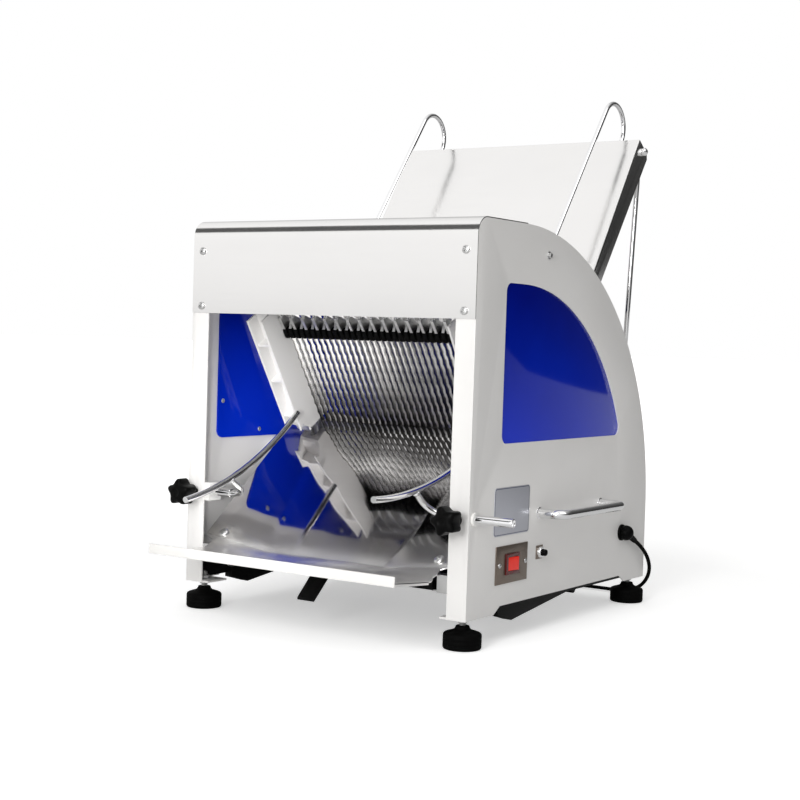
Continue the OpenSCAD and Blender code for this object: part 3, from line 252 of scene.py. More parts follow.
def acrylic(name, look):  # glossy coloured sheet with a painted glow for light coming through it, and painted shade: darker towards its top, lighter low down
    material, tree, shader, place = newFinish(name)
    z = axes(tree, place)[2]
    rise = (look["high"] - z) / (look["high"] - look["low"])
    paintedLowLight = (rise + look["vary"] * (noise(tree, place, look["cloud"], 2.0) - 0.5)).clamped()
    hair = noise(tree, place, look["hairScale"], 2.0, look["hair"])
    line = (abs(hair - 0.5) * look["hairSharp"]).clamped()
    # painted shade and light: dark colour at the top, light colour low down
    tint = blendColour(tree, paintedLowLight, look["dark"], look["light"])
    feed(tree, shader.inputs["Base Color"], tint)
    feed(tree, shader.inputs["Emission Color"], tint)
    feed(tree, shader.inputs["Roughness"], look["rough"] + look["hairRough"] * (1 - line))
    # painted glow: the tint glows on its own, standing for light coming through the sheet
    shader.inputs["Emission Strength"].default_value = look["glow"]
    shader.inputs["Specular IOR Level"].default_value = look["gloss"]
    return material


def borderedPlate(name, look):  # bare alloy plate with a thin dark border, seen in y and z
    material, tree, shader, place = newFinish(name)
    parts = node(tree, "ShaderNodeMapping", {"vector_type": "POINT"},
                 {"Vector": place, "Location": [-v for v in look["centre"]]})
    y, z = axes(tree, parts)[1:]
    across = abs(y) - (look["halfWide"] - look["corner"])
    upward = abs(z) - (look["halfHigh"] - look["corner"])
    edge = ((across.atLeast(0.0) ** 2 + upward.atLeast(0.0) ** 2) ** 0.5) - look["corner"]
    line = (edge > -look["borderTo"]) * (1 - (edge > -look["borderFrom"]))
    brushed = noise(tree, place, look["grain"], 3.0, look["stretch"])
    shade = blendColour(tree, brushed, look["dark"], look["light"])
    dress(tree, shader, blendColour(tree, line, shade, look["border"]),
          look["rough"] + look["vary"] * brushed, bump(tree, brushed, look["bump"], relief["plastic"]))
    shader.inputs["Metallic"].default_value = look["metallic"]
    return material


finishes = {
    "white_paint": paint("whitePowderCoat", {
        "dark": (0.80, 0.785, 0.765), "light": (0.86, 0.85, 0.835), "cloud": 9, "peel": 900, "bump": 0.10,
        "rough": 0.30, "vary": 0.10}),
    # the blue windows carry painted shade at the top and a painted glow
    "blue_window": acrylic("blueAcrylic", {
        "dark": (0.0002, 0.0040, 0.15), "light": (0.0006, 0.020, 0.44), "high": 0.56, "low": 0.30,
        "cloud": 6, "vary": 0.5, "hair": (0.2, 5, 0.6), "hairScale": 60, "hairSharp": 60,
        "hairRough": 0.06, "rough": 0.06, "glow": 0.20, "gloss": 0.2}),
    "polished_steel": polishedSheet("polishedSheet", {
        # the tray colours are painted shade, darker than the cover's
        "dark": (0.80, 0.79, 0.78), "light": (0.88, 0.87, 0.86), "shadedTrayDark": (0.50, 0.49, 0.49),
        "shadedTrayLight": (0.64, 0.63, 0.63), "grain": 120, "stretch": (0.04, 1, 1), "grainShare": 0.3,
        "cloud": 6, "cloudStretch": (1, 1, 2.2), "rough": 0.02, "vary": 0.07, "duller": 0.10,
        "scuffed": 0.26, "shelfBack": -0.20, "mirrorTop": 0.30, "fade": 0.05, "grainBump": 0.002,
        "wave": 7.0, "waveLess": 6.2, "waveScale": 6, "waveStretch": (1, 0.6, 0.6)}),
    "zinc_steel": metal("zincPlate", {
        "dark": (0.52, 0.52, 0.52), "light": (0.76, 0.76, 0.75), "grain": 500, "stretch": (1, 1, 1),
        "smudge": 40, "grainShare": 0.3, "grainBump": 0.02, "rough": 0.22, "vary": 0.18}),
    "chrome": metal("brightChrome", {
        "dark": (0.80, 0.80, 0.81), "light": (0.93, 0.93, 0.93), "grain": 300, "stretch": (1, 1, 1),
        "smudge": 25, "grainShare": 0.2, "grainBump": 0.002, "rough": 0.04, "vary": 0.09}),
    "black_paint": paint("blackEnamel", {
        "dark": (0.0015, 0.0015, 0.0015), "light": (0.005, 0.005, 0.005), "cloud": 30, "peel": 700,
        "bump": 0.15, "rough": 0.36, "vary": 0.16, "gloss": 0.08}),
    "black_plastic": plastic("blackMoulding", {
        "dark": (0.001, 0.001, 0.001), "light": (0.004, 0.004, 0.004), "grain": 1400, "dust": 60,
        "bump": 0.12, "rough": 0.30, "vary": 0.18, "gloss": 0.05}),
    "black_rubber": plastic("blackRubber", {
        "dark": (0.001, 0.001, 0.001), "light": (0.004, 0.004, 0.004), "grain": 900, "dust": 35,
        "bump": 0.2, "rough": 0.50, "vary": 0.25, "gloss": 0.03}),
    "white_nylon": plastic("whiteNylon", {
        "dark": (0.82, 0.81, 0.78), "light": (0.90, 0.89, 0.87), "grain": 600, "dust": 20, "bump": 0.05,
        "rough": 0.34, "vary": 0.12}),
    # the blades carry painted shade: darker low down and towards the right, for the dark interior they
    # reflect
    "blade_steel": metal("groundBlade", {
        "dark": (0.46, 0.45, 0.44), "light": (0.80, 0.79, 0.77), "grain": 400, "stretch": (1, 1, 0.12),
        "smudge": 18, "grainShare": 0.6, "grainBump": 0.02, "rough": 0.13, "vary": 0.16,
        "paintedShade": 0.94, "along": (-0.35, -0.5373, 0.8434), "paintedShadeTop": 0.425, "paintedShadeFade": 0.13,
        "paintedShadePatch": 0.5, "paintedShadeColour": (0.02, 0.018, 0.015)}),
    "frame_alloy": metal("frameAlloy", {
        "dark": (0.58, 0.58, 0.59), "light": (0.76, 0.76, 0.77), "grain": 260, "stretch": (0.05, 1, 1),
        "smudge": 22, "grainShare": 0.6, "grainBump": 0.03, "rough": 0.28, "vary": 0.16}),
    "grey_iron": paint("castIron", {
        "dark": (0.055, 0.058, 0.062), "light": (0.11, 0.115, 0.12), "cloud": 26, "peel": 380, "bump": 0.6,
        "rough": 0.5, "vary": 0.2}),
    "shaft_steel": metal("turnedSteel", {
        "dark": (0.42, 0.42, 0.42), "light": (0.66, 0.66, 0.65), "grain": 700, "stretch": (1, 0.2, 0.2),
        "smudge": 30, "grainShare": 0.6, "grainBump": 0.03, "rough": 0.24, "vary": 0.18}),
    "bronze_plate": metal("bronzePlate", {
        "dark": (0.17, 0.135, 0.11), "light": (0.26, 0.215, 0.18), "grain": 500, "stretch": (1, 0.08, 1),
        "smudge": 30, "grainShare": 0.6, "grainBump": 0.02, "rough": 0.30, "vary": 0.16, "metallic": 0.75}),
    "dark_red": plastic("darkRedBezel", {
        "dark": (0.07, 0.004, 0.004), "light": (0.12, 0.008, 0.007), "grain": 900, "dust": 70, "bump": 0.04,
        "rough": 0.18, "vary": 0.1}),
    "red": plastic("litRedRocker", {
        "dark": (0.58, 0.010, 0.006), "light": (0.74, 0.022, 0.012), "grain": 900, "dust": 90, "bump": 0.03,
        "rough": 0.16, "vary": 0.08, "glow": (1.0, 0.05, 0.02), "glowStrength": 0.15}),
    "plate_alloy": borderedPlate("bareRatingPlate", {
        "centre": row(280, 129.5, 206), "halfWide": 0.0555, "halfHigh": 0.038, "corner": 0.006,
        "borderFrom": 0.0014, "borderTo": 0.0026, "border": (0.10, 0.11, 0.17),
        "dark": (0.44, 0.45, 0.50), "light": (0.54, 0.55, 0.60), "grain": 300, "stretch": (1, 1, 12),
        "rough": 0.28, "vary": 0.14, "bump": 0.1, "metallic": 0.35}),
    "brass": metal("plugBrass", {
        "dark": (0.55, 0.40, 0.16), "light": (0.78, 0.60, 0.28), "grain": 600, "stretch": (0.1, 1, 1),
        "smudge": 60, "grainShare": 0.5, "grainBump": 0.02, "rough": 0.2, "vary": 0.15}),
    "tie_plastic": plastic("tieStrap", {
        "dark": (0.02, 0.02, 0.02), "light": (0.045, 0.045, 0.045), "grain": 1000, "dust": 80, "bump": 0.08,
        "rough": 0.4, "vary": 0.15}),
}
print("finishes", len(finishes))


# Geometry trees

def geometryTree(name, sockets):
    tree = bpy.data.node_groups.new(name, "GeometryNodeTree")
    for label, kind in [("Geometry", "Geometry")] + sockets:
        tree.interface.new_socket(label, in_out="INPUT", socket_type="NodeSocket" + kind)
    tree.interface.new_socket("Geometry", in_out="OUTPUT", socket_type="NodeSocketGeometry")
    entry = tree.nodes.new("NodeGroupInput")
    return tree, {label: Wire(tree, entry.outputs[label]) for label, kind in [("Geometry", "")] + sockets}


def endTree(tree, geometry, finish):
    whole = node(tree, "GeometryNodeRealizeInstances", None, {"Geometry": geometry})
    dressed = node(tree, "GeometryNodeSetMaterial", None, {"Geometry": whole, "Material": finish})
    last = tree.nodes.new("NodeGroupOutput")
    feed(tree, last.inputs[0], dressed)
    return tree


def rodTree():  # a round rod along the edges of a path
    tree, given = geometryTree("rodAlongPath", [("Radius", "Float"), ("Sides", "Int"),
                                                ("Finish", "Material")])
    line = node(tree, "GeometryNodeMeshToCurve", None, {"Mesh": given["Geometry"]})
    ring = node(tree, "GeometryNodeCurvePrimitiveCircle", None,
                {"Resolution": given["Sides"], "Radius": given["Radius"]})
    skin = node(tree, "GeometryNodeCurveToMesh", None,
                {"Curve": line, "Profile Curve": ring, "Fill Caps": True})
    return endTree(tree, skin, given["Finish"])


def rowTree():  # copies of one shape, evenly stepped across the machine
    tree, given = geometryTree("evenRow", [("Count", "Int"), ("Start", "Vector"), ("Step", "Vector"),
                                           ("Finish", "Material")])
    line = node(tree, "GeometryNodeMeshLine", {"mode": "OFFSET"},
                {"Count": given["Count"], "Start Location": given["Start"], "Offset": given["Step"]})
    copies = node(tree, "GeometryNodeInstanceOnPoints", None,
                  {"Points": line, "Instance": given["Geometry"]})
    return endTree(tree, copies, given["Finish"])


def headTree():  # a fastener at each point, along the point's facing, at the point's size
    tree, given = geometryTree("fasteners", [("Head", "Object"), ("Seed", "Int"), ("Finish", "Material")])
    head = node(tree, "GeometryNodeObjectInfo", None, {"Object": given["Head"]}, "Geometry")
    facing, size = (node(tree, "GeometryNodeInputNamedAttribute", {"data_type": kind}, {"Name": label})
                    for kind, label in (("FLOAT_VECTOR", "facing"), ("FLOAT", "size")))
    aimed = node(tree, "FunctionNodeAlignRotationToVector", {"axis": "Z"}, {"Vector": facing})
    spin = node(tree, "FunctionNodeRandomValue", {"data_type": "FLOAT"},
                {2: 0.0, 3: 6.28, "Seed": given["Seed"]}, 1)
    twist = node(tree, "FunctionNodeAxisAngleToRotation", None, {"Axis": (0, 0, 1), "Angle": spin})
    both = node(tree, "FunctionNodeRotateRotation", {"rotation_space": "LOCAL"},
                {"Rotation": aimed, "Rotate By": twist})
    copies = node(tree, "GeometryNodeInstanceOnPoints", None,
                  {"Points": given["Geometry"], "Instance": head, "Rotation": both, "Scale": size})
    return endTree(tree, copies, given["Finish"])


trees = {"rod": rodTree(), "row": rowTree(), "heads": headTree()}


def grown(obj, tree, values):  # runs a tree on an object and keeps its result as a plain mesh
    modifier = obj.modifiers.new(tree.name, "NODES")
    modifier.node_group = tree
    for item in tree.interface.items_tree:
        if item.in_out == "INPUT" and item.name in values:
            modifier[item.identifier] = values[item.name]
    return plainMesh(obj)


def plainMesh(obj):  # the object's mesh with its modifiers applied, in place of the old one
    bpy.context.view_layer.update()
    graph = bpy.context.evaluated_depsgraph_get()
    mesh = bpy.data.meshes.new_from_object(obj.evaluated_get(graph), depsgraph=graph)
    obj.modifiers.clear()
    obj.data = mesh
    return obj


# Making and placing pieces

edges = {"same": 1e-7, "merge": 2e-6, "flat": 0.6, "sharp": 33}  # distances in metres, angles in degrees


def newObject(name, mesh):
    obj = bpy.data.objects.new(name, mesh)
    scene.collection.objects.link(obj)
    return obj


def settle(obj, *stands, smooth=35):  # smooth shading, finish, body and slot of the nodes it stands for
    obj.data.shade_smooth()
    obj.data.set_sharp_from_angle(angle=math.radians(smooth))
    first = stands[0]
    obj.data.materials.clear()
    obj.data.materials.append(finishes[slotOf[first]])
    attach(obj, bodyOf[first])
    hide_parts(*stands)
    return obj


def fromShape(name, shape):  # turns a finished bmesh into an object, faces outwards
    bmesh.ops.remove_doubles(shape, verts=shape.verts, dist=edges["same"])
    bmesh.ops.recalc_face_normals(shape, faces=shape.faces)
    mesh = bpy.data.meshes.new(name)
    shape.to_mesh(mesh)
    shape.free()
    return newObject(name, mesh)


def loft(shape, rings, ends=True):  # skin over rings of points, ends closed
    loops = [[shape.verts.new(p) for p in ring] for ring in rings]
    count = len(loops[0])
    for a, b in zip(loops, loops[1:]):
        for i in range(count):
            j = (i + 1) % count
            shape.faces.new((a[i], a[j], b[j], b[i]))
    if ends:
        shape.faces.new(loops[0])
        shape.faces.new(loops[-1])


def circle(sides):  # angles round a whole turn, in radians
    return [2 * math.pi * i / sides for i in range(sides)]


def lathe(shape, profile, place, sides=48, ends=True):  # radius and height pairs turned round an axis
    angles = circle(sides)
    loft(shape, [[place(r * math.cos(a), r * math.sin(a), h) for a in angles] for r, h in profile], ends)


def lofted(name, rings):
    shape = bmesh.new()
    loft(shape, rings)
    return fromShape(name, shape)


def lathed(name, profile, place, sides=48, ends=True):
    shape = bmesh.new()
    lathe(shape, profile, place, sides, ends)
    return fromShape(name, shape)


def alongX(y, z, side=1):
    return lambda a, b, h: row(side * h, y + a, z + b)


def alongZ(x, y):
    return lambda a, b, h: row(x + a, y + b, h)


def alongLine(start, direction):  # mm points of the machine
    axis = Vector(direction).normalized()
    side = axis.cross(Vector((0, 0, 1)) if abs(axis.z) < 0.9 else Vector((1, 0, 0))).normalized()
    other = axis.cross(side)
    return lambda a, b, h: row(*(Vector(start) + side * a + other * b + axis * h))


def sharpEdges(shape):
    limit = math.radians(edges["sharp"])
    return [e for e in shape.edges if len(e.link_faces) == 2 and e.calc_face_angle(0) > limit]


def softened(nodeName, width, fold=None, foldWidth=0, segments=2, name=None):
    # merged copy of a CAD solid with rounded edges; edges that "fold" picks get the wider radius
    shape = bmesh.new()
    shape.from_mesh(nodes[nodeName].data)
    bmesh.ops.remove_doubles(shape, verts=shape.verts, dist=edges["merge"])
    bmesh.ops.dissolve_limit(shape, angle_limit=math.radians(edges["flat"]), verts=shape.verts,
                             edges=shape.edges)
    widest = max(width, foldWidth)
    layer = shape.edges.layers.float.new("bevel_weight_edge")
    for e in sharpEdges(shape):
        a, b = (v.co * 1000 + Vector((machine["originX"], machine["originY"], 0)) for v in e.verts)
        e[layer] = (foldWidth if fold and fold(a, b) else width) / widest
    mesh = bpy.data.meshes.new(nodeName)
    shape.to_mesh(mesh)
    shape.free()
    obj = newObject(name or "shown_" + nodeName, mesh)
    bevel = obj.modifiers.new("edges", "BEVEL")
    bevel.limit_method, bevel.width, bevel.segments = "WEIGHT", widest / 1000, segments
    bevel.use_clamp_overlap = True
    return settle(plainMesh(obj), nodeName)


def rod(name, path, radius, *stands, sides=32):  # swept rod through row points
    mesh = bpy.data.meshes.new(name)
    mesh.from_pydata([tuple(p) for p in path], [(i, i + 1) for i in range(len(path) - 1)], [])
    obj = newObject(name, mesh)
    finish = finishes[slotOf[stands[0]]]
    grown(obj, trees["rod"], {"Radius": radius / 1000, "Sides": sides, "Finish": finish})
    return settle(obj, *stands)


def joined(name, objs):  # several meshes of one node as one piece
    shape = bmesh.new()
    for obj in objs:
        shape.from_mesh(obj.data)
    mesh = objs[0].data.copy()
    mesh.name = name
    shape.to_mesh(mesh)
    shape.free()
    for obj in objs:
        bpy.data.objects.remove(obj)
    return newObject(name, mesh)


def arc(centre, radius, start, end, steps):  # points in a plane, degrees
    turns = [cosSin(start + (end - start) * i / steps) for i in range(steps + 1)]
    return [(centre[0] + radius * c, centre[1] + radius * s) for c, s in turns]


def ringPoints(centre, radius, sides):  # a whole round outline in a plane
    return arc(centre, radius, 0, 360 - 360 / sides, sides - 1)


# Camera at the photograph's angle

view = {"place": (1.4444, -2.2047, 0.4701), "yaw": 33.768, "pitch": -2.31, "roll": 1.847, "lens": 68.35,
        "sensor": 36}


def addCamera():
    yaw, pitch, roll = (math.radians(view[k]) for k in ("yaw", "pitch", "roll"))
    ahead = Vector((-math.sin(yaw) * math.cos(pitch), math.cos(yaw) * math.cos(pitch), math.sin(pitch)))
    level = Vector((math.cos(yaw), math.sin(yaw), 0))
    upright = level.cross(ahead)
    right = math.cos(roll) * level + math.sin(roll) * upright
    up = -math.sin(roll) * level + math.cos(roll) * upright
    data = bpy.data.cameras.new("photoCamera")
    data.lens, data.sensor_width = view["lens"], view["sensor"]
    obj = bpy.data.objects.new("photoCamera", data)
    obj.matrix_world = Matrix((right, up, -ahead)).transposed().to_4x4()
    obj.location = view["place"]
    scene.collection.objects.link(obj)
    scene.camera = obj


addCamera()

# Mains lead: out of the gland, round the back edge, along the floor, into the tied coil

lead = {"radius": 3.5, "ball": (290, 530, 136), "drop": 25, "reliefEnd": 42.5, "straight": 14,
        "corner": (280, 630, 0),
        "bend": [(10, -32, 103), (10, -16, 92), (9, 0, 78), (6, 14, 62), (-1, 26, 46), (-12, 36, 31),
                 (-26, 44, 19), (-43, 49, 11), (-62, 51, 6), (-82, 52, 5)],
        "coil": (10, 728, 5), "coilRadius": 46, "pitch": 7.8, "turns": 4.5, "lift": 7.8, "laneSteps": 8,
        "smooth": 6, "rings": 48, "bevel": 4}


def smoothLine(points, steps):  # even curve through all the points
    line = []
    last = len(points) - 1
    for i in range(last):
        a, b, c, d = (points[k] for k in (max(i - 1, 0), i, i + 1, min(i + 2, last)))
        for k in range(steps):
            t = k / steps
            line.append(0.5 * (2 * b + (c - a) * t + (2 * a - 5 * b + 4 * c - d) * t * t
                               + (3 * b - a - 3 * c + d) * t ** 3))
    return line + [points[last]]


def leadPath():
    c, s = cosSin(lead["drop"])
    out = Vector((0, c, -s))
    leave = Vector(lead["ball"]) + out * lead["reliefEnd"]
    cx, cy, cz = lead["coil"]
    end = cx + 2 * lead["radius"]
    route = [leave, leave + out * lead["straight"]]
    route += [Vector(p) + Vector(lead["corner"]) for p in lead["bend"]]
    start = route[-1].x
    for i in range(1, lead["laneSteps"] + 1):
        route.append(Vector((start + (end - start) * i / lead["laneSteps"], cy - lead["coilRadius"], cz)))
    line = smoothLine(route, lead["smooth"])
    for i in range(int(lead["turns"] * lead["rings"]) + 1):
        t = i / lead["rings"]
        r = lead["coilRadius"] - lead["pitch"] * min(t, lead["turns"] - t)
        climb = min(1, max(0, 2 * (t - (lead["turns"] - 0.5) / 2)))
        c, s = cosSin(-90 - 360 * t)
        line.append(Vector((cx + r * c, cy + r * s, cz + lead["lift"] * climb * climb * (3 - 2 * climb))))
    line.append(Vector((end, cy + lead["coilRadius"], cz + lead["lift"])))
    return [row(*p) for p in line]


def addLead():
    line = leadPath()
    curve = bpy.data.curves.new("mains_lead", "CURVE")
    curve.dimensions, curve.bevel_depth = "3D", lead["radius"] / 1000
    curve.bevel_resolution = lead["bevel"]
    curve.use_fill_caps = True
    spline = curve.splines.new("POLY")
    spline.points.add(len(line) - 1)
    for point, place in zip(spline.points, line):
        point.co = (*place, 1)
    spline.use_smooth = True
    curve.materials.append(finishes["black_rubber"])
    obj = newObject("mains_lead", curve)
    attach(obj, "machine")
    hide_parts("power_cord", "cord_coil")
    return obj, line


plug = {"start": 17, "y": 774, "z": 12.8, "neck": 22, "square": 0.72, "sides": 48,
        "pinEdge": 0.5, "tieEdge": 0.4,
        "sections": [(0, 4.5, 4.5), (3, 4.6, 4.6), (4, 5.4, 5.4), (6, 5.5, 5.5), (7, 4.9, 4.9),
                     (9, 5.1, 5.1), (10, 6.1, 6.1), (12, 6.2, 6.2), (13, 5.6, 5.6), (15, 5.9, 5.9),
                     (16, 7.0, 7.0), (18, 7.2, 7.2), (19, 6.7, 6.7), (22, 8.0, 8.0), (24, 10.6, 10.2),
                     (27, 12.2, 11.8), (31, 12.9, 12.5), (36, 13.0, 12.6), (40, 12.2, 11.8),
                     (44, 12.2, 11.8), (48, 13.0, 12.6), (57, 13.0, 12.6), (59, 12.4, 12.0),
                     (60, 11.2, 10.8)]}


def addPlug():
    rings = []
    for x, wide, high in plug["sections"]:
        power = 1.0 if x < plug["neck"] else plug["square"]  # round neck, squarer grip
        ring = []
        for angle in circle(plug["sides"]):
            c, s = math.cos(angle), math.sin(angle)
            ring.append(row(plug["start"] + x,
                            plug["y"] + wide * math.copysign(abs(c) ** power, c),
                            plug["z"] + high * math.copysign(abs(s) ** power, s)))
        rings.append(ring)
    body = settle(lofted("plug_grip", rings), "plug_body", smooth=50)
    pins = softened("plug_pins", plug["pinEdge"], name="plug_blades")
    tie = softened("cord_tie", plug["tieEdge"], name="lead_tie")
    return [body, pins, tie]


leadObj, leadLine = addLead()
plugPieces = addPlug()

# Folded side panels, window plates and covers

panel = {"front": 0, "back": 630, "top": 657, "face": 280, "foldRadius": 3.0, "edge": 0.7,
         "plateEdge": 0.5, "columnEdge": 1.2, "rearEdge": 0.5}


def panelFold(a, b):  # the outer edges that the sheet is folded round
    outer = all(abs(abs(p.x) - panel["face"]) < machine["near"] for p in (a, b))
    return outer and any(all(abs(p[k] - v) < machine["near"] for p in (a, b))
                         for k, v in ((1, panel["front"]), (1, panel["back"]), (2, panel["top"])))


for side in ("left", "right"):
    softened(side + "_side_panel", panel["edge"], panelFold, panel["foldRadius"], 4, side + "_panel_sheet")
    softened(side + "_window_plate", panel["plateEdge"], name=side + "_blue_plate")
    softened(side + "_guide_column", panel["columnEdge"], segments=3, name=side + "_ribbed_column")
softened("rear_cover", panel["rearEdge"])

cover = {"half": 280, "low": 503, "top": 658.5, "face": -1.5, "radius": 27.5, "back": 150, "sheet": 1.5,
         "across": 40, "bend": 28, "faceSteps": 12, "topSteps": 8,
         "hemHalf": 261.7, "hemLow": 645, "hemTop": 657.5}


def addFrontCover():
    def profile(inset):
        r = cover["radius"] - inset
        centre = (cover["face"] + cover["radius"], cover["top"] - cover["radius"])
        curve = arc(centre, r, 180, 90, cover["bend"])
        up, over = cover["faceSteps"], cover["topSteps"]
        rise = [cover["low"] + (centre[1] - cover["low"]) * i / up for i in range(up)]
        run = [centre[0] + (cover["back"] - centre[0]) * i / over for i in range(1, over + 1)]
        return ([(cover["face"] + inset, z) for z in rise] + curve
                + [(y, cover["top"] - inset) for y in run])
    loop = profile(0) + profile(cover["sheet"])[::-1]
    shape = bmesh.new()
    rings = [[row(cover["half"] * (2 * i / cover["across"] - 1), y, z) for y, z in loop]
             for i in range(cover["across"] + 1)]
    loft(shape, rings)
    hem = [(cover["back"] - cover["sheet"], cover["hemLow"]), (cover["back"], cover["hemLow"]),
           (cover["back"], cover["hemTop"]), (cover["back"] - cover["sheet"], cover["hemTop"])]
    loft(shape, [[row(x, y, z) for y, z in hem] for x in (-cover["hemHalf"], cover["hemHalf"])])
    settle(fromShape("front_cover_sheet", shape), "front_cover")


addFrontCover()
print("panels and covers")

# Outfeed tray: one sheet over rows across it, bent up at the back, its wings folded

tray = {"tilt": 40, "shelf": 112, "reach": 134, "dip": 11, "bendRadius": 45, "sheet": 2,
        "foldAt": 174, "foldBack": 235, "foldSlope": 0.242, "foldSoft": 6,
        "rise": 0.137, "riseLoss": 0.0022, "riseLeast": 0.03, "half": 240, "lipEdge": 0.8,
        "side": 1.5, "sideBack": -44, "sideDrop": 5, "sideGap": 0.5, "foldClear": 3, "edgeClear": 1,
        "points": (5, 6, 8), "rows": [(-134, 6, 20), (-20, 2, 20), (30, 10, 21)],  # first, step, count
        "outline": [(-134, 240), (-44, 240), (-38, 239), (-32, 237), (-27, 235), (-22, 233), (-17.6, 228),
                    (6.8, 228), (8.5, 232), (12, 248), (231.1, 248), (231.6, 184), (243.1, 184)]}
slope = math.tan(math.radians(tray["tilt"]))
fall = math.atan(tray["dip"] / tray["reach"])
bendAt = ((tray["shelf"] - tray["dip"] - machine["cutZ"] + machine["cutY"] * slope)
          / (slope + math.tan(fall)))
bendRun = tray["bendRadius"] * math.tan((math.radians(tray["tilt"]) + fall) / 2)
bendStart = bendAt - bendRun * math.cos(fall)
bendEnd = bendAt + bendRun * math.cos(math.radians(tray["tilt"]))


def trayMiddle(y):
    r = tray["bendRadius"]
    if y <= bendEnd:
        flat = min(y, bendStart)
        height = tray["shelf"] - (flat + tray["reach"]) * math.tan(fall)
        if y > bendStart:
            height += r * math.cos(fall) - math.sqrt(r * r - (y - bendStart - r * math.sin(fall)) ** 2)
        return height
    return machine["cutZ"] + (y - machine["cutY"]) * slope


def trayFold(y):
    return tray["foldAt"] - (tray["foldBack"] - y) * tray["foldSlope"]


def wingRise(y):
    return max(tray["riseLeast"], tray["rise"] - max(0, bendEnd - y) * tray["riseLoss"])


def trayHeight(x, y):
    over = abs(x) - trayFold(y)
    soft = tray["foldSoft"]
    bent = 0 if over < -soft else over if over > soft else (over + soft) ** 2 / (4 * soft)
    return trayMiddle(y) + bent * wingRise(y)


def halfWidth(y):
    for (y0, w0), (y1, w1) in zip(tray["outline"], tray["outline"][1:]):
        if y0 <= y <= y1:
            return w0 + (w1 - w0) * (y - y0) / (y1 - y0)
    return tray["outline"][-1][1]


def addTray():
    ys = {y for y, w in tray["outline"]}
    for start, step, count in tray["rows"]:
        ys |= {start + step * i for i in range(count)}
    ys = sorted(ys)
    flat, over, wing = tray["points"]  # points to the fold, across it and out to the edge
    top, low = [], []
    shape = bmesh.new()
    for y in ys:
        half, fold = halfWidth(y), trayFold(y)
        inner = min(fold - tray["foldSoft"], half - tray["foldClear"])
        outer = min(fold + tray["foldSoft"], half - tray["edgeClear"])
        right = [inner * i / flat for i in range(1, flat + 1)]
        right += [inner + (outer - inner) * i / over for i in range(1, over + 1)]
        right += [outer + (half - outer) * i / wing for i in range(1, wing + 1)]
        xs = [-x for x in right[::-1]] + [0] + right
        top.append([shape.verts.new(row(x, y, trayHeight(x, y))) for x in xs])
        low.append([shape.verts.new(row(x, y, trayHeight(x, y) - tray["sheet"])) for x in xs])
    for grid, flip in ((top, False), (low, True)):
        for a, b in zip(grid, grid[1:]):
            for i in range(len(a) - 1):
                face = (a[i], a[i + 1], b[i + 1], b[i])
                shape.faces.new(face[::-1] if flip else face)
    for a, b in ((top[0], low[0]), (top[-1], low[-1])):
        for i in range(len(a) - 1):
            shape.faces.new((a[i], a[i + 1], b[i + 1], b[i]))
    for i in range(len(ys) - 1):
        for k in (0, -1):
            shape.faces.new((top[i][k], top[i + 1][k], low[i + 1][k], low[i][k]))
    for sign in (-1, 1):  # the narrow turned-down sides beside the shelf
        half, gap = tray["half"], tray["sideGap"]
        front, back = -tray["reach"], tray["sideBack"]
        high, rear = trayHeight(half, front), trayHeight(half, back)
        outline = [(front, tray["shelf"] - tray["sheet"]), (front, high - gap), (back, rear - gap),
                   (back, rear - tray["sideDrop"])]
        loft(shape, [[row(sign * x, y, z) for y, z in outline] for x in (half - tray["side"], half)])
    settle(fromShape("polished_tray", shape), "outfeed_tray", smooth=40)


addTray()
softened("tray_lip", tray["lipEdge"], segments=3)
print("tray")

# Infeed chute

chute = {"half": 250, "top": 647, "foldRadius": 2.6, "edge": 0.5}


def chuteFold(a, b):
    def local(p):
        y, z = p.y - machine["cutY"], p.z - machine["cutZ"]
        c, s = cosSin(machine["chuteTilt"])
        return y * c - z * s, y * s + z * c
    (da, sa), (db, sb) = local(a), local(b)
    near = machine["near"]
    onBoard = abs(da) < near and abs(db) < near
    sideEdge = all(abs(abs(p.x) - chute["half"]) < near for p in (a, b))
    topEdge = all(abs(s - chute["top"]) < near for s in (sa, sb))
    return onBoard and (sideEdge or topEdge)


softened("infeed_chute", chute["edge"], chuteFold, chute["foldRadius"], 4, "chute_board")

# Loaf press: two looped wires on a cross rod; prop rods behind the chute

press = {"wireX": 198, "wire": 4, "crossD": 24.5, "crossS": 638, "loopS": 667, "loop": 41, "lean": 2.7,
         "leg": 455, "cross": 5, "pin": 4, "shoulder": 239.9, "nutFrom": 250.3, "nut": 7, "nutLong": 6,
         "cap": [(3, 0.6), (2.4, 3.2), (1, 5.4)], "ease": 1, "tuck": 2, "steps": (4, 40, 12), "sides": 40,
         "propEdge": 0.5}


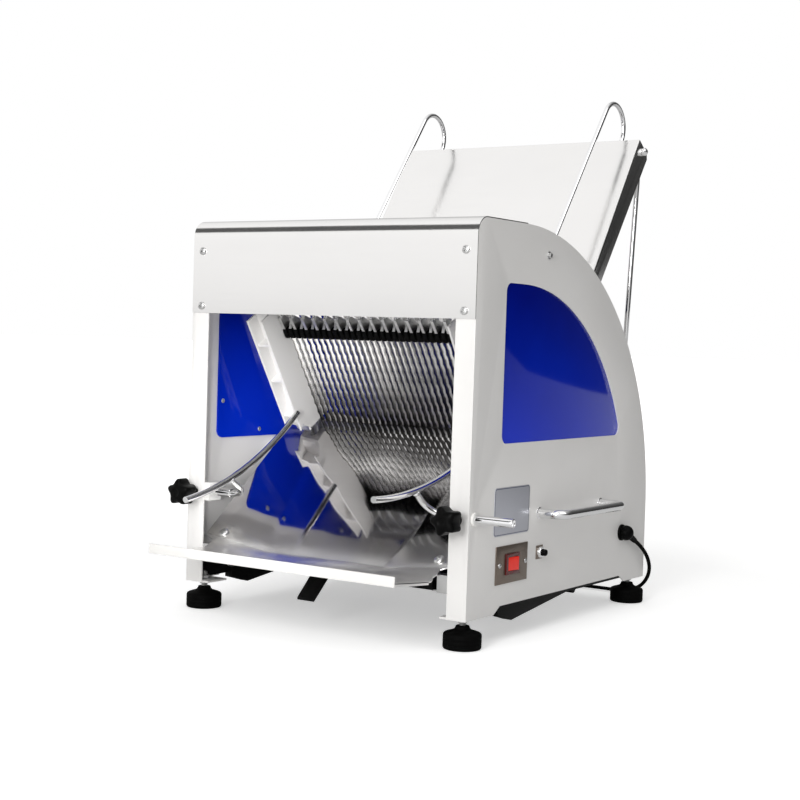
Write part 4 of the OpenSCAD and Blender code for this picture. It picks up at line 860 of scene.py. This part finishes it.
def addPress():
    parts = []
    middle = press["crossD"] - press["loop"]
    neck, loop, leg = press["steps"]
    for sign in (-1, 1):
        start = press["crossS"] - press["tuck"]
        flat = [(press["crossD"], start + (press["loopS"] - start) * i / neck) for i in range(neck)]
        flat += arc((middle, press["loopS"]), press["loop"], 0, 180 - press["lean"], loop)
        c, s = cosSin(press["lean"])
        for i in range(1, leg + 1):
            back = press["leg"] * i / leg
            flat.append((middle - press["loop"] * c - back * s,
                         press["loopS"] + press["loop"] * s - back * c))
        path = [onChute(sign * press["wireX"], across, along) for across, along in flat]
        parts.append(rod("wire", path, press["wire"], "loaf_press"))
    y, z = turned(-machine["chuteTilt"], press["crossD"], press["crossS"])
    end, seat, shoulder = press["nutFrom"] + press["nutLong"], press["nutFrom"], press["shoulder"]
    profile = [(r, -end - out) for out, r in press["cap"]]
    profile += [(press["nut"], press["ease"] - end), (press["nut"], -seat), (press["pin"], -seat),
                (press["pin"], -shoulder), (press["cross"], -shoulder)]
    profile += [(r, -x) for r, x in profile[::-1]]
    parts.append(lathed("cross", profile, alongX(y, z), press["sides"]))
    settle(joined("press_wires", parts), "loaf_press")


addPress()
softened("chute_props", press["propEdge"])

# Chrome arms with their cross rods, sleeves and star knobs

arms = {"z": 201, "y": 16, "x": 200, "bend": 36, "end": 344, "lift": 149.5, "reach": 59, "slope": 20,
        "curve": 550, "front": 11.5, "rear": 21.6, "radius": 5, "shift": 40,
        "crossRadius": 4.98, "steps": (6, 20, 3, 60), "tilt": {"right": 11.3, "left": 0.0},
        "bead": [(7.4, 5.02), (6.6, 5.5), (5.6, 6.1), (4.4, 6.5), (3.0, 6.2), (2.0, 5.2)], "beadSides": 24,
        "sleeveEnd": 348, "sleeveLength": 110, "sleeveNear": [(5.1, 0), (6.6, 0), (7, 0.5)],
        "sleeveFar": [(7, 0.8), (6.7, 0.2), (6.2, 0), (5.5, 0), (5.1, 0.5)], "bushEdge": 0.5}


def armPoint(side, tilt, x, y, z):  # a point of the arm before it is turned about its sleeve
    c, s = cosSin(-tilt)
    yy, zz = y * c - z * s, y * s + z * c
    if side == "left":
        x = -(x - arms["shift"])
    return row(x, arms["y"] + yy, arms["z"] + zz)


def addArm(side):
    tilt = arms["tilt"][side]
    lc, ls = cosSin(arms["lift"])
    start = arms["x"] + arms["bend"]
    inside, bend, straight, long = arms["steps"]
    flat = [(arms["end"] + (start - arms["end"]) * i / inside, 0) for i in range(inside)]
    flat += arc((start, arms["bend"]), arms["bend"], 270, 180, bend)
    flat += [(arms["x"], arms["bend"] + (arms["reach"] - arms["bend"]) * i / straight)
             for i in range(1, straight + 1)]
    cross = [armPoint(side, tilt, x, v * lc, v * ls) for x, v in flat]
    sc, ss = cosSin(arms["slope"])
    main = []
    for y, z in arc((0, arms["curve"]), arms["curve"], -90 - arms["front"], -90 + arms["rear"], long):
        main.append(armPoint(side, tilt, arms["x"], arms["reach"] * lc + y * sc - z * ss,
                             arms["reach"] * ls + y * ss + z * sc))
    solid = side + "_guide_arm"
    parts = [rod("cross", cross, arms["crossRadius"], solid), rod("main", main, arms["radius"], solid)]
    joint, before = cross[-1], cross[-1 - straight]
    axis = (joint - before).normalized()
    across = axis.cross(Vector((1, 0, 0))).normalized()
    other = axis.cross(across)
    rings = []
    for back, r in arms["bead"]:  # weld bead round the end of the cross rod
        rings.append([joint - axis * back / 1000 + (across * math.cos(a) + other * math.sin(a)) * r / 1000
                      for a in circle(arms["beadSides"])])
    parts.append(lofted("bead", rings))
    settle(joined(side + "_chrome_arm", parts), solid)


def addSleeve(side):
    sign, shift = (1, 0) if side == "right" else (-1, arms["shift"])
    far = arms["sleeveEnd"] - shift
    near = far - arms["sleeveLength"]
    profile = [(r, near + d) for r, d in arms["sleeveNear"]] + [(r, far - d) for r, d in arms["sleeveFar"]]
    tube = lathed(side + "_arm_tube", profile + profile[:1], alongX(arms["y"], arms["z"], sign), ends=False)
    settle(tube, side + "_arm_sleeve")


knob = {"x": 262.5, "z": 201, "base": 19.8, "lobe": 3.2, "lobes": 5, "sides": 150,
        "hollow": 0.18, "turn": {"right": 36, "left": 90},
        "sections": [(6, 3.9, 0), (-9, 3.9, 0), (-10, 10.6, 0), (-10.6, 11.6, 0), (-12, 12, 0),
                     (-22.5, 12, 0), (-23.5, 13, 0.2), (-24, 17.8, 0.9), (-24.8, 19.2, 1), (-26.4, 19.8, 1),
                     (-44, 19.8, 1), (-46.4, 19.4, 1), (-48.2, 18.2, 0.95), (-49.6, 16.0, 0.8),
                     (-50.8, 13.2, 0.5), (-51.6, 10.2, 0.2), (-52, 7.6, 0), (-51.7, 6.6, 0),
                     (-51.2, 6.0, 0), (-51, 1, 0)]}


def addKnob(side):
    sign = 1 if side == "right" else -1
    rings = []
    for y, r, lobed in knob["sections"]:
        ring = []
        for a in circle(knob["sides"]):
            wave = math.cos(knob["lobes"] * (a - math.radians(knob["turn"][side])))
            rr = r + knob["lobe"] * lobed * (wave - knob["hollow"] * (1 - wave * wave)) * r / knob["base"]
            ring.append(row(sign * knob["x"] + rr * math.cos(a), y, knob["z"] + rr * math.sin(a)))
        rings.append(ring)
    settle(lofted(side + "_star_grip", rings), side + "_knob", smooth=40)


for side in ("left", "right"):
    addArm(side)
    addSleeve(side)
    addKnob(side)
softened("arm_bushes", arms["bushEdge"])
print("arms and knobs")

# Carry handles

grip = {"radius": 8, "bar": 324, "bend": 18, "from": 220, "to": 441, "z": 195, "foot": 280,
        "straight": 3, "round": 16, "weldSides": 40,
        "weld": [(8.1, 280), (9.7, 280), (9.6, 280.7), (8.9, 281.4), (8.1, 281.8)]}


def addHandles():
    parts = []
    for sign in (-1, 1):
        corner = grip["bar"] - grip["bend"]
        straight = [grip["foot"] + (corner - grip["foot"]) * i / grip["straight"]
                    for i in range(grip["straight"])]
        flat = [(x, grip["from"]) for x in straight]
        flat += arc((corner, grip["from"] + grip["bend"]), grip["bend"], -90, 0, grip["round"])
        flat += arc((corner, grip["to"] - grip["bend"]), grip["bend"], 0, 90, grip["round"])
        flat += [(x, grip["to"]) for x in straight[::-1]]
        path = [row(sign * x, y, grip["z"]) for x, y in flat]
        parts.append(rod("grip", path, grip["radius"], "carry_handles"))
        for y in (grip["from"], grip["to"]):  # weld ring at each foot
            parts.append(lathed("foot", grip["weld"], alongX(y, grip["z"], sign), grip["weldSides"]))
    settle(joined("handle_bars", parts), "carry_handles")


addHandles()

# Rubber feet and their studs

foot = {"x": 260, "ys": (25, 605), "padSides": 64,
        "pad": [(0.5, 0), (26, 0), (28.4, 0.6), (29.6, 2), (30, 4), (30, 8.4), (29.5, 8.9), (29.5, 9.5),
                (30, 10), (30, 15.4), (29.5, 15.9), (29.5, 16.5), (30, 17), (30, 21.5), (29.4, 23.6),
                (28, 25), (25.6, 26), (15, 29.4), (12.6, 31), (11.2, 33.4), (10.6, 35.4), (10, 36),
                (0.5, 36)],
        "stud": 5, "studFrom": 36, "studTo": 62, "studSides": 24, "core": 0.5, "tip": 3.6,
        "thread": 0.45, "threadFrom": 36.4, "threadStep": 0.55, "threadTurns": 46,
        "nut": 8.5, "nuts": (40, 49), "nutProfile": [(0.9, 0), (1, 0.8), (1, 5.2), (0.9, 6)]}


def addFeet():
    pads, studs = [], []
    for sign in (-1, 1):
        for y in foot["ys"]:
            place = alongZ(sign * foot["x"], y)
            pads.append(lathed("pad", foot["pad"], place, foot["padSides"]))
            shape = bmesh.new()
            turns = [(foot["stud"] - foot["thread"] * (i % 2), foot["threadFrom"] + i * foot["threadStep"])
                     for i in range(foot["threadTurns"])]
            ends = [(foot["tip"], foot["studTo"]), (foot["core"], foot["studTo"])]
            lathe(shape, [(foot["core"], foot["studFrom"])] + turns + ends, place, foot["studSides"])
            for low in foot["nuts"]:
                lathe(shape, [(foot["nut"] * s, low + h) for s, h in foot["nutProfile"]], place, 6)
            studs.append(fromShape("stud", shape))
    settle(joined("rubber_feet", pads), "foot_pads", smooth=30)
    settle(joined("foot_bolts", studs), "foot_studs", smooth=30)


addFeet()
print("handles and feet")

# Switch, reset button, rating plate and cord gland on the right panel

fittings = {"edges": [("switch_plate", 0.4, 2), ("switch_bezel", 0.7, 3), ("switch_rocker", 0.8, 3),
                      ("rating_plate", 0.25, 2)],
            "resetY": 224, "resetZ": 131, "buttonSides": 40,
            "button": [(5.45, 276), (5.45, 291), (5.2, 292.6), (4.4, 294), (2.8, 294.8), (0.4, 295)],
            "collar": [(5.6, 280), (9, 280), (9, 285.4), (8.6, 286.4), (7.8, 287), (5.9, 287),
                       (5.6, 286.6)],
            "backing": [(11, 280), (11, 280.7), (10.67, 281)]}

for name, width, segments in fittings["edges"]:
    softened(name, width, segments=segments)


def addReset():
    place = alongX(fittings["resetY"], fittings["resetZ"])
    settle(lathed("reset_cap", fittings["button"], place, fittings["buttonSides"]), "reset_button")
    collar = fittings["collar"] + fittings["collar"][:1]
    ring = settle(lathed("reset_ring", collar, place, ends=False), "reset_plate")
    ring.data.materials[0] = finishes["chrome"]
    square = [(-1, -1), (1, -1), (1, 1), (-1, 1)]
    rings = [[place(a * half, b * half, x) for a, b in square] for half, x in fittings["backing"]]
    settle(lofted("reset_backing", rings), "reset_plate")


gland = {"base": [(0.5, 280), (14.5, 280), (14.5, 282.6), (13.9, 283.6), (12.6, 284), (0.5, 284)],
         "ball": 13.5, "ballFrom": 50, "ballStep": 6, "ballCore": 0.3, "sides": 56, "reliefSides": 40,
         "start": [(0.5, 4), (7.0, 4)], "ribs": 9, "ribFrom": 13, "ribStep": 3.2, "taper": 2.4,
         "taperLong": 38, "rib": [(0, 0), (0, 1.7), (0.6, 2.0), (0.7, 2.9)],
         "tip": [(4.6, 41.9), (4.4, 42.5), (0.5, 42.5)]}


def addGland():
    shape = bmesh.new()
    x, y, z = lead["ball"]
    lathe(shape, gland["base"], alongX(y, z), gland["sides"])
    ball = []
    for degrees in range(gland["ballFrom"], 181, gland["ballStep"]):
        c, s = cosSin(degrees)
        ball.append((max(gland["ballCore"], gland["ball"] * s), x - gland["ball"] * c))
    lathe(shape, ball, alongX(y, z), gland["sides"])
    ribs = list(gland["start"])
    wide, low = ribs[-1]
    for i in range(gland["ribs"]):
        h = gland["ribFrom"] + i * gland["ribStep"]
        r = wide - gland["taper"] * (h - low) / gland["taperLong"]
        ribs += [(r - inward, h + on) for inward, on in gland["rib"]]
    c, s = cosSin(lead["drop"])
    way = alongLine(lead["ball"], (0, c, -s))
    lathe(shape, ribs + gland["tip"], way, gland["reliefSides"])
    settle(fromShape("lead_gland", shape), "cord_gland", smooth=40)


addReset()
addGland()
print("fittings")

# Blades and hooks in two interleaved rows

blade = {"count": 31, "pitch": 12, "width": 13, "thick": 0.8, "toothDepth": 2.2, "toothPitch": 19,
         "low": -38, "high": 198, "toothFrom": -24.5, "teeth": 11, "steps": 8, "scallop": 0.8,
         "grind": 3.2, "grindFollow": 0.4}


def bladeRow(obj, first, slot):  # every second place across the machine, from the first or the second one
    pitch = blade["pitch"] / 1000
    start = (first - (blade["count"] - 1) / 2) * pitch
    grown(obj, trees["row"], {"Count": (blade["count"] + 1) // 2 - first, "Start": Vector((start, 0, 0)),
                              "Step": Vector((2 * pitch, 0, 0)), "Finish": finishes[slot]})


def addBlades():
    lengths = [blade["low"]]
    count = blade["teeth"] * blade["steps"]
    lengths += [blade["toothFrom"] + blade["toothPitch"] * i / blade["steps"] for i in range(count + 1)]
    lengths += [blade["high"]]
    rings = []
    t = blade["thick"] / 2
    for i, u in enumerate(lengths):
        phase = (u - blade["toothFrom"]) / blade["toothPitch"]
        inTeeth = 0 < i < len(lengths) - 1
        dip = blade["toothDepth"] * abs(math.sin(math.pi * phase)) ** blade["scallop"] if inTeeth else 0
        w = blade["width"] / 2 - dip
        g = blade["width"] / 2 - blade["grind"] - dip * blade["grindFollow"]
        ring = [(0, -w), (t, -g), (t, g), (0, w), (-t, g), (-t, -g)]
        rings.append([onBlades(x, n, u) for x, n in ring])
    source = lofted("blade", rings)
    for first, name in ((0, "front"), (1, "rear")):
        obj = newObject(name + "_blade_row", source.data.copy())
        bladeRow(obj, first, "blade_steel")
        settle(obj, name + "_blades", smooth=20)
    bpy.data.objects.remove(source)


hook = {"half": 3.5, "deep": 16, "round": 4, "ease": 1.2, "bevel": 0.6, "upper": (192, 212),
        "lower": (-46, -32), "pin": 2.2, "pinAt": 9.5, "pinOut": 0.5, "pinSides": 12,
        "neck": 236, "neckHalf": 5, "neckDeep": 15, "neckThick": 2.7, "neckLow": 210, "neckRound": 2,
        "stem": 2, "stemSides": 16, "tuck": 1, "barOff": 13, "barHigh": 272, "barLow": -82}


def rounded(corners, radius, steps=5):  # closed outline with its corners eased
    outline = []
    for i, corner in enumerate(corners):
        before, here, after = (Vector(corners[k % len(corners)]) for k in (i - 1, i, i + 1))
        enter = here + (before - here).normalized() * radius
        leave = here + (after - here).normalized() * radius
        for k in range(steps):
            t = k / (steps - 1)
            outline.append(enter * (1 - t) ** 2 + here * 2 * t * (1 - t) + leave * t * t)
    return outline


def addStem(shape, offset, low, high):
    ring = ringPoints((0, offset), hook["stem"], hook["stemSides"])
    loft(shape, [[onBlades(a, b, u) for a, b in ring] for u in (low, high)])


def hookShape(offset):  # the black blocks at both ends of a blade, and the lower one's stem
    shape = bmesh.new()
    d, half = hook["deep"], hook["half"]
    flat, out = half - hook["bevel"], half + hook["pinOut"]
    for low, high in (hook["lower"], hook["upper"]):
        corners = [(d, low), (d, high), (-d, high), (-d, low)]
        outline, inner = rounded(corners, hook["round"]), rounded(corners, hook["round"] + hook["ease"])
        loft(shape, [[onBlades(x, n, u) for n, u in ring] for x, ring in
                     ((-half, inner), (-flat, outline), (flat, outline), (half, inner))])
        for n in (-hook["pinAt"], hook["pinAt"]):  # cross pins that hold the blade
            pin = ringPoints((n, (low + high) / 2), hook["pin"], hook["pinSides"])
            loft(shape, [[onBlades(x, a, b) for a, b in pin] for x in (-out, out)])
    addStem(shape, offset, hook["barLow"], hook["lower"][0] + hook["tuck"])
    return fromShape("hook", shape)


def neckShape(offset):  # the bright part of an upper hook: a plate that narrows up to its stem
    shape = bmesh.new()
    d, low, top = hook["neckDeep"], hook["neckLow"], hook["neck"]
    wide, thick = hook["neckHalf"], hook["neckThick"]
    corners = [(d, low), (offset + wide, top), (offset - wide, top), (-d, low)]
    outline = rounded(corners, hook["neckRound"])
    loft(shape, [[onBlades(x, n, u) for n, u in outline] for x in (-thick, thick)])
    addStem(shape, offset, top - hook["tuck"], hook["barHigh"])
    return fromShape("neck", shape)


def addHooks():
    for first, name, sign in ((0, "front", -1), (1, "rear", 1)):
        for part, made, slot in (("hook", hookShape, "black_plastic"), ("neck", neckShape, "zinc_steel")):
            obj = made(sign * hook["barOff"])
            bladeRow(obj, first, slot)
            obj.name = name + "_" + part + "_row"
            settle(obj, name + "_hooks", smooth=30)
            obj.data.materials[0] = finishes[slot]


addBlades()
addHooks()
print("blades and hooks")

# Screw heads with a cross recess, tie bar bolts and the tray's big screws

screws = {"seed": 4, "coverX": 260, "coverZ": (515, 607), "coverFace": -1.5, "coverSize": 6.5,
          "plateFace": 275, "smallSize": 4, "switchFace": 281.5, "switchY": (94, 176), "switchZ": 122,
          "window": [(78, 352), (78, 514), (180, 300), (370, 300)], "arcCentre": (150, 177),
          "arcRadius": 397, "arcAngles": (25, 55), "boltY": 222, "boltZ": 612, "boltSize": 6.5,
          "trayX": 216, "trayY": 22, "trayLift": 0.2, "traySize": 8.5}
heads = {"pan": [(0.96, 0), (1, 0.06), (1, 0.16), (0.95, 0.28), (0.82, 0.40), (0.6, 0.49), (0.3, 0.53),
                 (0.03, 0.54)],
         "panSides": 32, "slotLong": 0.58, "slotThin": 0.13, "slot": [(0.6, 0.2), (1.05, 0.8)],
         "washer": [(0.97, 0), (1, 0.03), (1, 0.12), (0.97, 0.155)], "washerSides": 36,
         "hexagon": [(0.7, 0.15), (0.71, 0.2), (0.71, 0.66), (0.62, 0.77)]}


def unit(a, b, h):  # a fastener's own frame, in which its radius is 1
    return Vector((a, b, h))


def crossHead():  # pan head with a cross cut in it
    head = lathed("head", heads["pan"], unit, heads["panSides"])
    long, thin = heads["slotLong"], heads["slotThin"]
    plus = [(thin, thin), (thin, long), (-thin, long), (-thin, thin), (-long, thin), (-long, -thin),
            (-thin, -thin), (-thin, -long), (thin, -long), (thin, -thin), (long, -thin), (long, thin)]
    cutter = lofted("cutter", [[unit(x * s, y * s, h) for x, y in plus] for s, h in heads["slot"]])
    cut = head.modifiers.new("cross", "BOOLEAN")
    cut.object, cut.operation, cut.solver = cutter, "DIFFERENCE", "EXACT"
    plainMesh(head)
    bpy.data.objects.remove(cutter)
    return head


def boltHead():  # washer under a hexagon
    shape = bmesh.new()
    lathe(shape, heads["washer"], unit, heads["washerSides"])
    lathe(shape, heads["hexagon"], unit, 6)
    return fromShape("bolt", shape)


def fasteners(name, places, head, *stands):  # places: point in mm, facing, size in mm
    mesh = bpy.data.meshes.new(name)
    mesh.from_pydata([tuple(row(*p)) for p, f, s in places], [], [])
    mesh.attributes.new("facing", "FLOAT_VECTOR", "POINT")
    mesh.attributes.new("size", "FLOAT", "POINT")
    for i, (p, f, s) in enumerate(places):
        mesh.attributes["facing"].data[i].vector = f
        mesh.attributes["size"].data[i].value = s / 1000
    obj = newObject(name, mesh)
    finish = finishes[slotOf[stands[0]]]
    grown(obj, trees["heads"], {"Head": head, "Seed": screws["seed"], "Finish": finish})
    return settle(obj, *stands, smooth=30)


def addScrews():
    head, bolt = crossHead(), boltHead()
    places = [((sign * screws["coverX"], screws["coverFace"], z), (0, -1, 0), screws["coverSize"])
              for sign in (-1, 1) for z in screws["coverZ"]]
    spots = list(screws["window"])
    for angle in screws["arcAngles"]:
        c, s = cosSin(angle)
        spots.append((screws["arcCentre"][0] + screws["arcRadius"] * s,
                      screws["arcCentre"][1] + screws["arcRadius"] * c))
    for sign in (-1, 1):
        places += [((sign * screws["plateFace"], y, z), (-sign, 0, 0), screws["smallSize"])
                   for y, z in spots]
    places += [((screws["switchFace"], y, screws["switchZ"]), (1, 0, 0), screws["smallSize"])
               for y in screws["switchY"]]
    fasteners("panel_screw_heads", places, head, "panel_screws")
    bolts = [((sign * machine["half"], screws["boltY"], screws["boltZ"]), (sign, 0, 0), screws["boltSize"])
             for sign in (-1, 1)]
    fasteners("tie_bolt_heads", bolts, bolt, "panel_screws")
    x, y = screws["trayX"], screws["trayY"]
    z = trayHeight(x, y) + screws["trayLift"]
    tip = tray["rise"] * tray["foldSlope"] - slope
    places = [((sign * x, y, z), (-sign * tray["rise"], tip, 1), screws["traySize"]) for sign in (-1, 1)]
    fasteners("tray_screw_heads", places, head, "tray_screws")
    for obj in (head, bolt):
        bpy.data.objects.remove(obj)


addScrews()
print("screws")

# Everything else keeps its solid's shape, with rounded edges

plainEdges = {"tie_bar": 0.8, "frame_rails": 2.0, "base_rails": 1.2, "guide_bushes": 0.8,
              "tray_brackets": 0.5, "drawer_runners": 0.4, "motor_plate": 0.8, "motor_body": 2.5,
              "bearing_housings": 1.5, "drive_belt": 0.6, "front_frame": 1.2, "rear_frame": 1.2,
              "front_connecting_rod": 0.8, "rear_connecting_rod": 0.8, "crankshaft": 0.6,
              "crank_discs": 1.0, "driven_pulley": 0.7, "motor_pulley": 0.7, "crumb_drawer": 0.5}
for name, width in plainEdges.items():
    softened(name, width)
print("inner works")

# Pale floor, surroundings that are bright at the front left and dark behind, soft lamps

studio = {"floor": (0.90, 0.90, 0.895), "floorLight": (0.93, 0.93, 0.925), "speck": 3.0, "floorRough": 0.9,
          "floorGloss": 0.1, "size": 120, "glowNear": 0.9, "glowFar": 3.0, "glow": 0.45,
          "toward": (0.5, 0.34, 0.42, 0.30),  # the middle, then the shares of left, front and up
          "shade": [(0.0, 0.03), (0.2, 0.10), (0.45, 0.45), (0.7, 0.92), (1.0, 1.08)],
          "bandLow": 0.43, "bandHigh": 0.775, "bandFront": -0.25, "bandShade": 0.92,
          "bandColour": (0.02, 0.02, 0.02), "box": 1.8, "boxSides": (0.4, 0.55, -0.48, 0.05),
          "soft": 0.37, "softRise": 0.30, "softLeft": 0.20, "softBehind": 0.45, "aim": (0, 0, 0.35),
          "lamps": [("key", (0.9, -3.4, 2.2), 30, 1.4), ("side", (0.6, -2.5, 0.75), 22, 0.6)],
          "spot": {"place": (0.9, -1.9, 0.42), "aim": (-0.28, -0.04, 0.27), "power": 110, "angle": 14,
                   "size": 0.12}}


def addFloor():
    half = studio["size"] / 2
    mesh = bpy.data.meshes.new("floor")
    corners = [(-half, -half, 0), (half, -half, 0), (half, half, 0), (-half, half, 0)]
    mesh.from_pydata(corners, [], [(0, 1, 2, 3)])
    floor = newObject("floor", mesh)
    material, tree, shader, place = newFinish("paleFloor")
    speck = noise(tree, place, studio["speck"])
    away = node(tree, "ShaderNodeVectorMath", {"operation": "LENGTH"}, {0: place}, 1)
    far = ((away - studio["glowNear"]) / (studio["glowFar"] - studio["glowNear"])).clamped()
    feed(tree, shader.inputs["Base Color"], blendColour(tree, speck, studio["floor"], studio["floorLight"]))
    seen = node(tree, "ShaderNodeLightPath", output="Is Camera Ray")
    shine = seen * (studio["glow"] + (1 - studio["glow"]) * far)
    feed(tree, shader.inputs["Emission Color"], blendColour(tree, shine, (0, 0, 0), (1, 1, 1)))
    shader.inputs["Emission Strength"].default_value = 1.0
    shader.inputs["Roughness"].default_value = studio["floorRough"]
    shader.inputs["Specular IOR Level"].default_value = studio["floorGloss"]
    mesh.materials.append(material)


def addSurroundings():
    world = bpy.data.worlds.new("studio")
    scene.world = world
    world.use_nodes = True
    tree = world.node_tree
    back = tree.nodes["Background"]
    x, y, z = axes(tree, node(tree, "ShaderNodeTexCoord", output="Generated"))
    middle, left, front, up = studio["toward"]
    toward = (middle - left * x - front * y + up * z).clamped()
    shade = node(tree, "ShaderNodeValToRGB", {"stops": studio["shade"]}, {"Fac": toward})
    band = (z > studio["bandLow"]) * (1 - (z > studio["bandHigh"])) * (y < studio["bandFront"]) * (x < 0)
    right, low, near, far = studio["boxSides"]
    box = (x > right) * (z > low) * (y > near) * (y < far) * studio["box"]  # a softbox high on the right
    sky = node(tree, "ShaderNodeVectorMath", {"operation": "ADD"}, {0: shade, 1: box})
    mirrored = blendColour(tree, band * studio["bandShade"], sky, studio["bandColour"])
    soft = studio["soft"] + studio["softRise"] * z - studio["softLeft"] * (0 - x).clamped()
    soft = soft - studio["softBehind"] * x.clamped() * y.clamped()  # what matt surfaces are lit by
    gloss = node(tree, "ShaderNodeLightPath", output="Is Glossy Ray")
    lit = blendColour(tree, gloss, soft, mirrored)
    seen = node(tree, "ShaderNodeLightPath", output="Is Camera Ray")
    feed(tree, back.inputs["Color"], blendColour(tree, seen, lit, (1, 1, 1)))
    back.inputs["Strength"].default_value = 1.0


def addLamp(name, kind, place, aim, power):
    data = bpy.data.lights.new(name, kind)
    data.energy = power
    lamp = bpy.data.objects.new(name, data)
    lamp.location = place
    lamp.rotation_mode = "QUATERNION"
    lamp.rotation_quaternion = (Vector(aim) - lamp.location).to_track_quat("-Z", "Y")
    scene.collection.objects.link(lamp)
    return lamp


def addStudio():
    addFloor()
    addSurroundings()
    for name, place, power, size in studio["lamps"]:
        addLamp(name, "AREA", place, studio["aim"], power).data.size = size
    spot = studio["spot"]  # through the front opening onto the left panel
    lamp = addLamp("inside", "SPOT", spot["place"], spot["aim"], spot["power"])
    lamp.data.spot_size, lamp.data.spot_blend = math.radians(spot["angle"]), 1.0
    lamp.data.shadow_soft_size = spot["size"]
    lamp.visible_glossy = False
    scene.view_settings.view_transform = "Standard"


addStudio()
